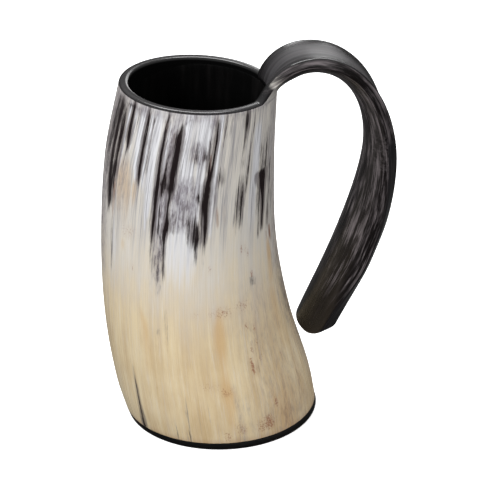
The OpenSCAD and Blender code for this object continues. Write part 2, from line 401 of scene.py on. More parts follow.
DARK_STREAKS: tuple[Streak, ...] = (
    Streak(D, (
        (-162.5, 128.5, 2.5, 0.7), (-163, 122, 2.6, 1), (-163, 112, 2.4, 1), (-162.8, 104, 3, 1),
        (-162, 96, 3.4, 1), (-161.6, 92, 2.6, 0.85), (-162.6, 88, 0.9, 0.6),
    )),
    Streak(D, (
        (-156.3, 126, 1.4, 0.7), (-156.2, 120, 2.4, 1), (-156.2, 114, 2.4, 1), (-156.6, 109, 2.2, 0.9),
        (-157.4, 104, 2.6, 0.95), (-158.2, 99, 2, 0.7), (-158.6, 95, 1, 0.4),
    )),
    Streak(D, ((-160, 127, 4, 0.55), (-160, 116, 4, 0.5)), 0.6),
    Streak(D, ((-156.7, 85, 0.8, 0.35), (-157, 75, 0.8, 0.4), (-157.5, 66, 0.7, 0.25))),
    Streak(D, ((-152, 128.6, 10, 0.5), (-152, 127.6, 10, 0.4)), 0.75, 1.2),
    Streak(D, (
        (-147.3, 128.5, 0.7, 1), (-147.6, 124, 1.6, 0.9), (-147.6, 120, 2, 1), (-147.2, 116.5, 1.6, 1),
        (-146.8, 114, 0.8, 0.7), (-147.6, 111, 0.8, 0.35), (-149, 107, 0.8, 0.25),
    )),
    Streak(D, ((-141.6, 127, 0.6, 0.45), (-141.4, 121, 0.5, 0.4))),
    Streak(D, (
        (-132.4, 128, 0.7, 0.9), (-132.5, 123, 1.1, 1), (-132.8, 115, 1.1, 1), (-133, 108, 1, 1),
        (-133, 104, 0.8, 0.8), (-133.2, 101, 0.5, 0.4),
    )),
    Streak(D, (
        (-127.4, 126, 0.7, 0.45), (-127.8, 121, 0.5, 0.35), (-128, 112, 0.4, 0.45),
        (-128.2, 108, 0.5, 0.5),
    )),
    Streak(D, (
        (-117.2, 128, 0.5, 0.8), (-117.8, 125, 1.2, 0.7), (-118.2, 120, 0.9, 0.9), (-118.6, 115, 1, 1),
        (-118.6, 109, 1.1, 1), (-118.6, 105, 1.4, 1), (-119.2, 100, 1.5, 0.95), (-119.6, 95, 0.9, 1),
        (-120, 90, 0.9, 0.95), (-120.5, 86, 0.7, 0.9), (-120.8, 83, 0.6, 0.7), (-121.4, 77, 0.8, 0.45),
        (-122, 70, 0.7, 0.3), (-122.4, 65, 0.6, 0.2),
    )),
    Streak(D, (
        (-113, 118, 0.7, 0.5), (-113.6, 112, 0.8, 0.7), (-114, 108, 0.8, 0.9), (-114.4, 104.5, 2, 1),
        (-114.6, 102.5, 1.8, 1), (-115, 100.5, 0.8, 0.8),
    )),
    Streak(D, (
        (-106.8, 124.5, 0.9, 0.8), (-107.8, 122, 2, 1), (-108, 117, 2.3, 1), (-108.4, 112, 2.1, 1),
        (-109, 107, 2, 1), (-109.5, 102.5, 2.1, 1), (-109.7, 100.5, 1.2, 0.8), (-110.4, 97, 0.8, 0.85),
        (-110.8, 93, 0.8, 0.95), (-110.6, 90, 1.6, 1), (-111.6, 87.5, 1.9, 1), (-112.6, 85, 1.4, 0.9),
        (-112.8, 81, 0.7, 0.85), (-113.2, 75, 0.6, 0.75), (-113.6, 70.5, 0.5, 0.6),
        (-113.8, 68, 0.4, 0.3),
    )),
    # painted shade just under the rim
    Streak(D, ((-101.3, 127.4, 0.6, 0.4), (-104, 126.2, 0.7, 0.4), (-107, 124.5, 0.7, 0.45)), 0.6, 1),
    Streak(D, ((-104.1, 121, 0.5, 0.35), (-104.2, 116, 0.5, 0.35))),
    Streak(D, (
        (-116, 95, 0.4, 0.6), (-116.2, 90, 0.5, 0.7), (-116.6, 87, 1.2, 0.7), (-115, 84.5, 1, 0.6),
    )),
    Streak(D, ((-106.2, 94, 0.5, 0.5), (-106.6, 87, 0.5, 0.5))),
    # painted shade down the horn's side next to the handle, not a streak in the horn
    Streak(D, (
        (-13, 92, 5, 0.2), (-14, 78, 7, 0.35), (-14, 60, 8, 0.42), (-14, 46, 8, 0.42), (-13, 38, 7, 0.3),
    ), 0.95, 8),
    Streak(D, ((-116.5, 80, 2.6, 0.3), (-117, 72, 2.4, 0.35), (-117.4, 66, 1.8, 0.2)), 0.95, 4),
    Streak(D, (
        (-169, 127, 4, 0.6), (-170, 115, 5, 0.75), (-171, 104, 4, 0.6), (-171, 94, 2, 0.3),
    ), 0.85, 5),
    Streak(D, ((-100.7, 95, 0.4, 0.5), (-100.8, 91, 0.4, 0.5))),
    Streak(D, ((-96.8, 92, 0.7, 0.6), (-96.6, 87, 0.9, 0.6), (-97, 83, 0.8, 0.4))),
    Streak(D, ((-94.2, 118, 0.4, 0.6), (-94.3, 114, 0.6, 0.75), (-94.6, 111, 0.4, 0.4))),
    Streak(D, ((-88.4, 116, 0.8, 0.6), (-88.2, 113.5, 1.1, 0.8), (-88.4, 111.5, 0.6, 0.4))),
    Streak(D, ((-91, 100.5, 0.8, 0.6), (-90.6, 99, 0.9, 0.9), (-90.4, 97, 0.5, 0.4)), 0.75, 1.5),
    Streak(D, (
        (-93.5, 93, 0.8, 0.5), (-92.4, 89, 2, 0.8), (-91.8, 86.5, 2.6, 0.9), (-92, 84, 2.7, 0.9),
        (-92.4, 81, 1.6, 0.6), (-92.6, 78, 1.2, 0.45), (-93, 74, 1.4, 0.25),
    )),
    Streak(D, (
        (-81.8, 125, 0.5, 0.9), (-81.8, 120, 0.8, 1), (-82.2, 115, 0.8, 1), (-82.6, 111, 0.9, 1),
        (-83.6, 107.5, 1.4, 1), (-85, 104, 2.1, 1), (-85.5, 100, 2.3, 1), (-86, 96, 2.2, 1),
        (-85.6, 92, 1.5, 1), (-85.8, 88, 1.3, 1), (-86, 85, 0.9, 1), (-86.3, 82, 0.6, 0.8),
        (-86.6, 78, 0.7, 0.4), (-87.4, 74, 0.6, 0.25),
    )),
    Streak(D, ((-85.8, 119, 0.4, 0.5), (-85.4, 112, 0.6, 0.7), (-85, 108, 0.8, 0.85))),
    Streak(D, ((-87.6, 98, 0.7, 0.9), (-88.2, 92, 0.5, 0.7), (-88.4, 86, 0.4, 0.5))),
    Streak(D, ((-75.6, 128, 0.7, 0.5), (-75.8, 122, 0.8, 0.5), (-76.2, 117, 0.6, 0.35))),
    Streak(D, ((-72, 127, 0.5, 0.35), (-72.3, 121, 0.4, 0.3))),
    Streak(D, ((-77.2, 108, 0.5, 0.5), (-77, 105.5, 0.9, 0.6), (-77.2, 103.5, 0.6, 0.4))),
    Streak(D, ((-73.8, 108, 0.4, 0.4), (-74.2, 104.5, 0.6, 0.55))),
    Streak(D, (
        (-59, 128, 1, 0.6), (-58.8, 125.5, 1.3, 0.9), (-58.9, 123, 1.2, 1), (-59.2, 120, 0.8, 0.8),
        (-59.8, 116, 0.6, 0.7), (-60, 112, 0.6, 0.5), (-59.6, 108, 1.2, 0.45),
    )),
    Streak(D, (
        (-59.6, 105, 0.8, 0.5), (-59.4, 101, 1.2, 0.75), (-59.8, 97, 1.5, 0.85), (-60.8, 92, 1.3, 0.85),
        (-61.3, 88, 0.9, 0.7), (-61.4, 85, 0.7, 0.45),
    )),
    Streak(D, (
        (-62, 104, 0.5, 0.5), (-62.8, 100, 0.7, 0.75), (-63.6, 95, 0.7, 0.8), (-64.4, 89, 0.6, 0.65),
        (-64.8, 84, 0.5, 0.35),
    )),
    Streak(D, (
        (-50.8, 127, 0.7, 0.5), (-51.6, 123, 0.6, 0.5), (-52.8, 118, 0.6, 0.55), (-53.8, 113, 0.5, 0.5),
        (-54.8, 107, 0.7, 0.65), (-56, 102, 0.8, 0.65), (-57, 97, 0.6, 0.5), (-57.6, 93, 0.4, 0.3),
    )),
    Streak(D, (
        (-39.8, 103.5, 4, 1), (-39.6, 101, 4.3, 1), (-39.3, 98, 3.2, 1), (-38.8, 95, 2.2, 1),
        (-38.8, 90, 1.3, 1), (-39.4, 86, 1.1, 0.95), (-40.2, 82, 0.9, 0.7), (-40.6, 80, 0.6, 0.3),
    ), 0.3, 1),
    # painted shade below the handle's root
    Streak(D, (
        (-35, 122, 2, 0.25), (-35, 116, 3, 0.4), (-35, 110, 2.6, 0.5), (-36.5, 104, 2.6, 0.6),
    ), 0.6),
    Streak(D, ((-41, 113, 1.6, 0.4), (-41, 104, 2, 0.55))),
    Streak(D, ((-29, 106, 4.5, 0.3), (-28, 98, 5, 0.4), (-27, 90, 4, 0.35), (-28, 84, 2, 0.3)), 0.8),
    Streak(D, ((-31.6, 92, 0.8, 0.5), (-32, 86, 1.2, 0.7), (-32.6, 81, 1, 0.6))),
    Streak(D, ((-43.6, 96, 1.8, 0.55), (-43.8, 90, 1.6, 0.55), (-44, 85, 1.2, 0.35), (-44, 80, 1, 0.3))),
    Streak(D, (
        (-143.5, 30, 0.3, 0.35), (-144.2, 24, 0.4, 0.55), (-145, 17, 0.5, 0.65), (-146.3, 10, 0.9, 0.75),
        (-148, 4, 1.3, 0.85),
    )),
    Streak(D, (
        (-113.3, 57, 0.5, 0.25), (-113.5, 52, 0.8, 0.4), (-114.5, 45, 0.7, 0.3), (-116, 38, 0.5, 0.15),
    )),
    Streak(D, (
        (-111.5, 28, 0.5, 0.16), (-112.3, 18, 0.7, 0.26), (-113.5, 10, 0.7, 0.28), (-115, 4, 0.8, 0.32),
    )),
    Streak(D, ((-118, 20, 0.5, 0.15), (-119.5, 5, 0.8, 0.22)), 0.75, 8),
    Streak(D, ((-98.5, 26, 0.4, 0.12), (-99.5, 15, 0.5, 0.2), (-100, 8, 0.4, 0.14)), 0.75, 8),
    Streak(D, ((-78, 22, 0.6, 0.16), (-78.5, 12, 0.7, 0.2)), 0.75, 8),
    Streak(D, ((-84, 22, 0.5, 0.14), (-85, 6, 0.6, 0.2)), 0.75, 8),
    Streak(D, ((-121.5, 12, 0.8, 0.16), (-122, 4, 1.3, 0.25)), 0.75, 8),
    Streak(D, ((-119.5, 49, 0.8, 0.3), (-120.5, 46.5, 1, 0.3)), 0.75, 1.5),
    Streak(D, ((-53, 65, 1, 0.5), (-53, 62.5, 1.1, 0.5)), 0.75, 1.2),
)

MAUVE_FIELDS: tuple[Streak, ...] = (
    Streak(M, ((-112.5, 126, 3, 0.6), (-112.5, 118, 3.2, 0.9), (-112.5, 108, 3.2, 1))),
    Streak(M, ((-114.5, 104, 5, 0.85), (-114.5, 95, 5, 0.8), (-115, 86, 4.5, 0.9)), 0.5, 3),
    Streak(M, (
        (-116, 84, 2.8, 0.75), (-116.4, 76, 2.8, 0.9), (-116.8, 69, 2.4, 0.65), (-117, 64, 2, 0.35),
    )),
    Streak(M, ((-95, 128, 2.2, 0.6), (-94.5, 126.5, 1.6, 0.4)), 0.75, 1.5),
    Streak(M, ((-85.5, 128, 2.8, 0.7), (-85, 124, 2, 0.6), (-85.5, 118, 1.2, 0.35))),
    Streak(M, ((-97, 117, 1.5, 0.6), (-97, 112, 1.2, 0.4))),
    Streak(M, ((-101, 105, 9, 0.7), (-101, 97, 9.5, 0.85), (-101, 89, 8, 0.75)), 0.5, 3),
    Streak(M, ((-93, 118.5, 5, 0.5), (-92, 113.5, 5.5, 0.8), (-91, 111, 3.5, 0.5)), 0.6, 2),
    # painted shade below the handle's root
    Streak(M, ((-27, 129, 6, 0.4), (-27, 106, 6, 0.4)), 0.7, 5),
    Streak(M, ((-50, 56, 16, 0.16), (-46, 30, 20, 0.22), (-46, 4, 22, 0.24)), 0.9, 16),
    Streak(M, ((-81, 24, 1.6, 0.25), (-82, 5, 1.8, 0.35)), 0.9, 6),
    Streak(M, ((-75, 20, 1.2, 0.2), (-76, 8, 1.6, 0.25)), 0.9, 5),
    # painted shade down the horn's side next to the handle
    Streak(M, ((-16, 104, 10, 0.25), (-16, 70, 12, 0.4), (-15, 40, 11, 0.4), (-12, 16, 8, 0.2)), 0.9, 12),
    # painted shade down the horn's side away from the handle
    Streak(M, ((-175, 128, 8, 0.8), (-175, 90, 9, 0.8), (-175, 66, 8, 0.5)), 0.7, 6),
    Streak(M, ((-150, 108, 7, 0.3), (-149, 98, 8, 0.35), (-148, 90, 6, 0.2)), 0.9, 6),
    Streak(M, ((-140, 129, 10, 0.7), (-140, 127, 10, 0.55)), 0.4, 1.5),
    Streak(M, ((-107.5, 129, 4.5, 0.6), (-107.5, 126, 4.5, 0.5)), 0.4, 1.5),
)

TAN_FIELDS: tuple[Streak, ...] = (
    Streak(T, (
        (-146, 115, 2, 0.2), (-145, 107, 5, 0.6), (-144, 99, 6.5, 0.75), (-144, 92, 6, 0.55),
        (-143, 86, 5, 0.35),
    ), 0.7, 5),
    Streak(T, ((-136, 103, 2.2, 0.6), (-136, 99, 2.4, 0.7), (-136.5, 94, 1.8, 0.4)), 0.7),
    Streak(T, ((-144, 80, 2, 0.5), (-144.3, 77, 2, 0.5)), 0.7, 2),
    Streak(T, ((-73, 95, 2.5, 0.4), (-72.5, 89, 2.5, 0.4)), 0.7),
    Streak(T, ((-33, 75, 2.5, 0.6), (-32.4, 70, 3, 0.9), (-33, 66, 3.5, 0.7), (-34, 60, 4, 0.6)), 0.7),
    Streak(T, (
        (-80, 55, 3, 0.5), (-81, 50, 4, 0.85), (-82, 43, 4.6, 0.95), (-83, 36, 4, 0.65),
        (-84, 28, 4, 0.85), (-84.5, 24, 4.4, 1), (-85.5, 17, 4, 0.7), (-87, 10, 3.4, 0.5),
    ), 0.95, 6),
    Streak(T, (
        (-131, 55, 2.4, 0.5), (-129, 50, 3.6, 0.7), (-129, 40, 4, 0.55), (-131, 30, 4, 0.4),
    ), 0.95, 6),
    Streak(T, ((-53, 22, 8, 0.5), (-53, 5, 9, 0.6)), 0.8, 8),
    Streak(T, ((-36, 55, 6, 0.6), (-36, 35, 7, 0.5)), 0.8, 8),
    Streak(T, ((-45, 60, 18, 0.3), (-45, 30, 20, 0.35), (-45, 4, 22, 0.4)), 0.8, 14),
    Streak(T, ((-150, 109, 4, 0.5), (-150, 99, 4.5, 0.8), (-149, 90, 3, 0.5)), 0.7, 5),
)

BROWN_STAINS: tuple[Streak, ...] = (
    Streak(B, ((-156, 100, 2.2, 0.7), (-156, 92, 1.8, 0.6), (-156.2, 86, 1, 0.4))),
    Streak(B, ((-118, 126, 1.6, 0.6), (-118, 122, 1.4, 0.5)), 0.75, 2),
    Streak(B, ((-111.5, 123, 1.4, 0.4), (-111, 120, 1.8, 0.5), (-110.8, 117, 1.2, 0.3)), 0.9, 2),
    Streak(B, ((-84.4, 114, 0.8, 0.7), (-84.6, 108, 1.4, 0.8)), 0.75, 2),
    Streak(B, ((-78, 95, 1, 0.45), (-77.6, 91, 1.4, 0.6), (-77.4, 88, 1.2, 0.5)), 0.9, 2),
    Streak(B, ((-115, 44, 1.5, 0.4), (-115.5, 40, 1.2, 0.3)), 0.75, 2),
    Streak(B, ((-33, 128, 3, 0.35), (-33, 120, 3, 0.3)), 0.7, 4),
    Streak(B, ((-61, 45, 2.5, 0.32), (-62, 36, 3.5, 0.42), (-63, 27, 2.5, 0.3)), 0.95, 6),
    Streak(B, ((-50, 17, 4, 0.34), (-52, 6, 6, 0.42)), 0.95, 6),
    Streak(B, ((-86, 8, 2.2, 0.42), (-86.5, 3, 2.6, 0.5)), 0.95, 4),
    Streak(B, ((-30, 30, 5, 0.28), (-30, 12, 6, 0.32)), 0.95, 10),
    Streak(B, ((-34.2, 79, 0.7, 0.7), (-34.4, 76, 0.7, 0.6)), 0.75, 1),
    Streak(B, ((-29.4, 80, 1.6, 0.7), (-28.6, 75, 1.6, 0.7)), 0.75, 1),
)

SPECK_PATCHES: tuple[Streak, ...] = (
    specks(-139, 84, 7.5, 0.35, 3),
    specks(-78, 55, 9, 0.45, 2.5),
    specks(-64, 56, 6, 0.45, 2),
    specks(-63, 48, 1.4, 0.65),
    specks(-57.5, 46, 1.4, 0.65),
    specks(-63, 38.5, 1.4, 0.55),
    specks(-58.5, 40.5, 1.4, 0.55),
    specks(-58.5, 34.5, 1.4, 0.55),
    specks(-65.5, 32, 1.4, 0.75, 4),
    specks(-57, 16, 1.5, 0.65, 2),
    specks(-65, 9, 3.3, 0.7, 4),
    specks(-70, 8, 3, 0.55, 4),
    specks(-82.5, 8.5, 3.8, 0.45, 3),
    specks(-91.5, 6, 2.4, 0.55, 2.5),
    specks(-94, 27, 10, 0.3, 2),
    specks(-85.5, 24, 3.8, 0.55, 1.5),
    specks(-95, 55, 3, 0.3),
    specks(-60, 77, 1, 0.7),
    specks(-57, 77, 0.9, 0.65),
    specks(-55, 75, 0.9, 0.65),
    specks(-83, 72, 1, 0.45),
    specks(-135.5, 71, 1, 0.45),
    specks(-53, 66.5, 1, 0.8),
    specks(-42, 31.5, 1, 0.55),
)


@dataclass(frozen=True)
class BackStreaks:
    """Streaks of the same kinds for the side away from the camera, drawn from a fixed seed."""

    seed: int = 41
    first_angle: float = 12.0
    last_angle: float = 178.0
    dark_count: int = 34
    tops: tuple[float, ...] = (131.0, 131.0, 112.0)
    bottoms: tuple[float, float] = (72, 112)
    halves: tuple[float, float] = (0.5, 1.4)
    widenings: tuple[float, ...] = (1.0, 1.0, 2.4)
    top_share: float = 0.8
    slants: tuple[float, float] = (-5.0, -1.0)
    strengths: tuple[float, float] = (0.45, 1.0)
    swells: tuple[float, float] = (0.8, 1.7)
    middles: tuple[float, float] = (0.35, 0.7)
    pigments: tuple[Pigment, ...] = (D, D, D, M)
    speck_count: int = 16
    speck_heights: tuple[float, float] = (5, 82)
    speck_halves: tuple[float, float] = (0.7, 1.8)
    speck_talls: tuple[float, float] = (1.2, 2.4)
    speck_strength: float = 0.55

    def streaks(self) -> tuple[Streak, ...]:
        """Draw every streak.

        Returns:
            White and tan fields, dark and mauve streaks, and specks.
        """
        draw = np.random.default_rng(self.seed)
        made = [
            Streak(W, ((62, 131, 30, 0.85), (60, 86, 28, 0.8), (58, 70, 24, 0.2)), 0.3, 8),
            Streak(W, ((146, 131, 26, 0.85), (144, 88, 24, 0.8), (142, 72, 20, 0.2)), 0.3, 8),
            Streak(T, ((104, 112, 6, 0.5), (102, 92, 8, 0.6), (100, 60, 6, 0.3)), 0.7, 8),
        ]
        for _ in range(self.dark_count):
            made.append(self._dark(draw))
        for _ in range(self.speck_count):
            angle = draw.uniform(self.first_angle, self.last_angle)
            height = draw.uniform(*self.speck_heights)
            half = draw.uniform(*self.speck_halves)
            ends = (height + draw.uniform(*self.speck_talls), height)
            knots = tuple((angle, end, half, self.speck_strength) for end in ends)
            made.append(Streak(Pigment.SPECK, knots, soft=0.7, fade=1))
        return tuple(made)

    def _dark(self, draw: np.random.Generator) -> Streak:
        """Draw one dark or mauve streak.

        Args:
            draw: The source of random numbers.

        Returns:
            The streak.
        """
        angle = draw.uniform(self.first_angle, self.last_angle)
        top = draw.choice(self.tops)
        bottom = draw.uniform(*self.bottoms)
        half = draw.uniform(*self.halves) * draw.choice(self.widenings)
        slant = draw.uniform(*self.slants)
        strength = draw.uniform(*self.strengths)
        swell = draw.uniform(*self.swells)
        middle = mix(top, bottom, draw.uniform(*self.middles))
        pigment = draw.choice(self.pigments)
        knots = (
            (angle, top, half * self.top_share, strength),
            (angle + slant / 2, middle, half * swell, strength),
            (angle + slant, bottom, half / 2, strength / 2),
        )
        return Streak(pigment, knots)


@dataclass(frozen=True)
class Ring:
    """One ring of a loft, with the slope of its plane towards the handle."""

    centre: float
    half_width: float
    half_depth: float
    height: float
    slope: float = 0.0

    def pole(self) -> "Ring":
        """The same ring drawn together to a point."""
        return Ring(self.centre, 0.0, 0.0, self.height)

    def drawn_in(self, inset: float, rise: float = 0.0) -> "Ring":
        """The same ring made smaller by inset and lifted by rise."""
        width, depth = self.half_width - inset, self.half_depth - inset
        return Ring(self.centre, width, depth, self.height + rise, self.slope)


@dataclass(frozen=True)
class HornForm:
    """The leaning tube: sizes, and the curves that its sections follow."""

    rim_height: float = 129.5 * MM
    foot_width: float = 69.4 * MM
    rim_width: float = 54.2 * MM
    depth_share: float = 0.925
    lean: float = 11.5 * MM
    rim_drop: float = 3.4 * MM
    foot_wall: float = 4.6 * MM
    rim_wall: float = 3.6 * MM
    lip: float = 1.2 * MM
    stations: tuple[float, ...] = (0, 0.12, 0.32, 0.55, 0.8, 1)
    taper: tuple[float, ...] = (0, -0.077, 0.197, 0.496, 0.704, 1)
    bow: tuple[float, ...] = (0, 0.3, 0.762, 1, 0.928, 0.657)

    def _curve(self, shares: Sequence[float], level: Number) -> Array:
        """Read the smooth curve through these values at the stations."""
        return smooth_curve(np.array(self.stations, float), np.array(shares, float), level)

    def width(self, level: Number) -> Array:
        """Width of the horn at a height share."""
        return mix(self.foot_width, self.rim_width, self._curve(self.taper, level))

    def centre(self, level: Number) -> Array:
        """Where the middle of the section lies at a height share."""
        return -self.lean * self._curve(self.bow, level)

    def wall(self, level: Number) -> Number:
        """Wall of the horn at a height share."""
        return mix(self.foot_wall, self.rim_wall, level)

    def slope(self, level: Number) -> Array:
        """How far sections tip towards the handle at a height share."""
        return self.rim_drop / self.rim_width * ease(2 * np.asarray(level) - 1)

    @property
    def rim_centre(self) -> float:
        """Where the middle of the rim lies."""
        return float(self.centre(1.0))

    def front(self, height: float) -> float:
        """How far the horn reaches towards the handle at a height."""
        level = height / self.rim_height
        return float(self.centre(level) + self.width(level) / 2)

    def point(self, level: Number, inset: Number, angle: Array) -> Array:
        """Points of the horn's wall.

        Args:
            level: Heights as shares of the rim's height.
            inset: How far inside the outer face.
            angle: Angles in radians.

        Returns:
            The points, in the last axis.
        """
        half = self.width(level) / 2
        x = self.centre(level) + (half - inset) * np.cos(angle)
        y = (half * self.depth_share - inset) * np.sin(angle)
        z = self.rim_height * level - self.slope(level) * (x - self.rim_centre)
        return np.stack(np.broadcast_arrays(x, y, z), axis=-1)

    def ring(self, level: float, inset: float = 0.0) -> Ring:
        """One section of the horn as a ring.

        Args:
            level: Height as a share of the rim's height.
            inset: How far inside the outer face.

        Returns:
            The ring.
        """
        half = float(self.width(level)) / 2
        depth = half * self.depth_share - inset
        centre, slope = float(self.centre(level)), float(self.slope(level))
        return Ring(centre, half - inset, depth, self.rim_height * level, slope)

    def bore(self, level: float, gap: float = 0.0) -> Ring:
        """One section of the horn's inside as a ring, drawn in by gap."""
        return self.ring(level, float(self.wall(level)) + gap)


@dataclass
class StripForm:
    """The strip that rises from the rim, bends over and runs down to the foot."""

    horn: HornForm
    thickness: float = 6.6 * MM
    arch_edge: float = 3.9 * MM
    thicken_run: float = 10.5 * MM
    arch_width: float = 18.6 * MM
    grip_width: float = 24.8 * MM
    arch_hollow: float = 16 * MM
    grip_hollow: float = 13.6 * MM
    tip_hollow: float = 18.8 * MM
    finger_gap: float = 32 * MM
    reach_drop: float = 25.8 * MM
    tip_height: float = 32 * MM
    tip_gap: float = 0.3 * MM
    tip_corner: float = 6.0 * MM
    tip_cut_run: float = 14 * MM
    edge: float = 0.9 * MM
    root_skew: float = 5.3 * MM
    skew_run: float = 43 * MM
    front_flare: float = 4 * MM
    back_flare: float = 4 * MM
    front_fillet: float = 12 * MM
    back_fillet: float = 5 * MM
    root_angle: float = math.radians(79.6)
    tip_angle: float = math.radians(21.6)
    root_pull: float = 17.2 * MM
    top_pull: float = 35 * MM
    grip_pull: float = 19.6 * MM
    tip_pull: float = 13.6 * MM
    hollow_from: float = 0.21
    hollow_to: float = 0.67
    tip_from: float = 0.757
    root_rows_share: float = 0.28
    tip_rows_share: float = 0.14
    root_rows: int = 18
    curve_rows: int = 52
    tip_rows: int = 14
    half_a: float = field(init=False)
    half_b: float = field(init=False)
    root_turn: float = field(init=False)
    place: Array = field(init=False)
    heading: Array = field(init=False)
    run: Array = field(init=False)

    STEEPEST = 0.99

    def __post_init__(self) -> None:
        """Lay out the rows along the strip's middle line."""
        horn = self.horn
        self.half_a = (horn.rim_width - horn.rim_wall) / 2
        self.half_b = (horn.rim_width * horn.depth_share - horn.rim_wall) / 2
        self.root_turn = -math.asin(self.root_skew / self.half_b)
        arch, grip = self._guides()
        share = self._row_shares()
        on_arch = (share < 1)[:, None]
        first, second = np.clip(share, 0, 1)[:, None], np.clip(share - 1, 0, 1)[:, None]
        self.place = np.where(on_arch, self._along(arch, first), self._along(grip, second))
        self.heading = unit(np.where(on_arch, self._slope(arch, first), self._slope(grip, second)))
        steps = np.linalg.norm(np.diff(self.place, axis=0), axis=1)
        self.run = np.concatenate([[0.0], np.cumsum(steps)]) - horn.lip

    def _guides(self) -> tuple[Array, Array]:
        """Guide points of the two curves that make the middle line.

        Returns:
            Four points of the arch and four of the grip, in the handle's plane.
        """
        horn = self.horn
        root_x = horn.rim_centre + self.half_a * math.cos(self.root_turn)
        root_z = horn.rim_height - horn.rim_drop / horn.rim_width * (root_x - horn.rim_centre)
        root = np.array([root_x, root_z - horn.lip])
        reach_z = horn.rim_height - self.reach_drop
        reach = np.array([horn.front(reach_z) + self.finger_gap + self.thickness / 2, reach_z])
        lean = np.array([math.sin(self.tip_angle), math.cos(self.tip_angle)])
        tip_x = horn.front(self.tip_height) + self.tip_gap + self.thickness / 2 / lean[1]
        tip = np.array([tip_x, self.tip_height]) + self.edge * lean
        rise = np.array([math.cos(self.root_angle), math.sin(self.root_angle)])
        down = np.array([0.0, 1.0])
        arch = [root, root + (self.root_pull + horn.lip) * rise, reach + self.top_pull * down, reach]
        grip = [reach, reach - self.grip_pull * down, tip + self.tip_pull * lean, tip]
        return np.array(arch), np.array(grip)

    def _row_shares(self) -> Array:
        """Space the rows along the two curves, closer at the root and the tip.

        Returns:
            Shares from 0 to 1 on the arch and from 1 to 2 on the grip.
        """
        root = np.arange(self.root_rows) / self.root_rows
        curve = np.arange(self.curve_rows) / self.curve_rows
        tip = np.arange(self.tip_rows + 1) / self.tip_rows
        return np.concatenate([
            self.root_rows_share * (1 - np.cos(root * math.pi / 2)),
            mix(self.root_rows_share, 1.0, curve),
            mix(1.0, 2 - self.tip_rows_share, curve),
            2 - self.tip_rows_share * (1 - np.sin(tip * math.pi / 2)),
        ])

    @staticmethod
    def _along(guide: Array, share: Array) -> Array:
        """Points of a curve with four guide points."""
        rest = 1 - share
        return (
            guide[0] * rest**3
            + 3 * guide[1] * share * rest**2
            + 3 * guide[2] * share**2 * rest
            + guide[3] * share**3
        )

    @staticmethod
    def _slope(guide: Array, share: Array) -> Array:
        """Directions of a curve with four guide points."""
        rest = 1 - share
        return (
            (guide[1] - guide[0]) * rest**2
            + 2 * (guide[2] - guide[1]) * share * rest
            + (guide[3] - guide[2]) * share**2
        )

    def rim_angle(self, across: Array) -> Array:
        """Angles of the rim that the strip's columns rise from.

        Args:
            across: Columns from the front edge (-1) to the back edge (1).

        Returns:
            Angles in radians.
        """
        front = (self.arch_width / 2 + self.front_flare) / self.half_b
        back = (self.arch_width / 2 + self.back_flare) / self.half_b
        return self.root_turn + across * np.where(across < 0, front, back)

    def points(self, across: Array, face: float) -> Array:
        """Points of one face of the strip, short of its rounded edges.

        Args:
            across: Columns from the front edge (-1) to the back edge (1).
            face: 0.5 for the round face and -0.5 for the hollow face.

        Returns:
            An array of rows, columns and coordinates.
        """
        horn, run = self.horn, self.run[:, None]
        length = self.run[-1]
        settled = ease(run / self.skew_run)
        deep = ease((run / length - self.hollow_from) / (self.hollow_to - self.hollow_from))
        opened = ease((run / length - self.tip_from) / (1 - self.tip_from))
        bend = mix(mix(1 / self.arch_hollow, 1 / self.grip_hollow, deep), 1 / self.tip_hollow, opened)
        corner = self.tip_corner - self.edge
        near_tip = np.clip((run - length) / corner + 1, 0, 1)
        half = mix(self.arch_width, self.grip_width, deep) / 2
        half = half - corner * (1 - np.sqrt(1 - near_tip**2))
        turn = across * (np.arcsin(np.minimum(half * bend, self.STEEPEST)) - self.edge * bend)
        edge = mix(self.arch_edge, self.thickness, deep)
        grown = ease(run / self.thicken_run)
        reach = 1 / bend + face * mix(horn.rim_wall, mix(self.thickness, edge, across**2), grown)
        sag = 1 / bend - reach * np.cos(turn)
        side = -self.root_skew * (1 - settled) + reach * np.sin(turn)
        level = sag * math.tan(self.tip_angle) * ease((run - length) / self.tip_cut_run + 1)
        x = self.place[:, :1] - self.heading[:, 1:] * sag - self.heading[:, :1] * level
        z = self.place[:, 1:] + self.heading[:, :1] * sag - self.heading[:, 1:] * level
        arc = np.stack([x, side, z], axis=-1)
        wall = horn.point(1.0, horn.rim_wall * (0.5 - face), self.rim_angle(across))
        wall = wall[None] + np.stack([0 * run, 0 * run, run], axis=-1)
        fillet = mix(self.front_fillet, self.back_fillet, (across + 1) / 2) + horn.lip
        risen = np.clip((run + horn.lip) / fillet, 0, 1)
        return mix(wall, arc, np.sqrt(1 - (1 - risen) ** 2)[..., None])


class Finish:
    """A finish that makes one material."""

    def material(self) -> bpy.types.Material:
        """Build the material.

        Returns:
            The material.
        """
        raise NotImplementedError


@dataclass(frozen=True)
class Weave:
    """A noise that is drawn out along one axis, and how fine it is."""

    along: float
    scale: float
    detail: float = 3.0
    roughness: float = 0.6
    across: float = 1.0

    def spin(self, g: Graph, vector: Sock) -> Sock:
        """Add the noise to a material.

        Args:
            g: The material's graph.
            vector: Where on the pattern each point lies.

        Returns:
            The noise as a value.
        """
        if self.along != self.across:
            vector = g.stretch(vector, (self.across, self.across, self.along))
        return g.noise(vector, self.scale, self.detail, self.roughness)


@dataclass(frozen=True)
class Band:
    """The range over which a layer comes in, and how strong it gets."""

    low: float
    high: float
    strength: float = 1.0

    def read(self, g: Graph, value: Sock) -> Sock:
        """How strong the layer is where its pattern has this value."""
        rise = g.step(value, self.low, self.high)
        return rise if self.strength == 1.0 else rise * self.strength


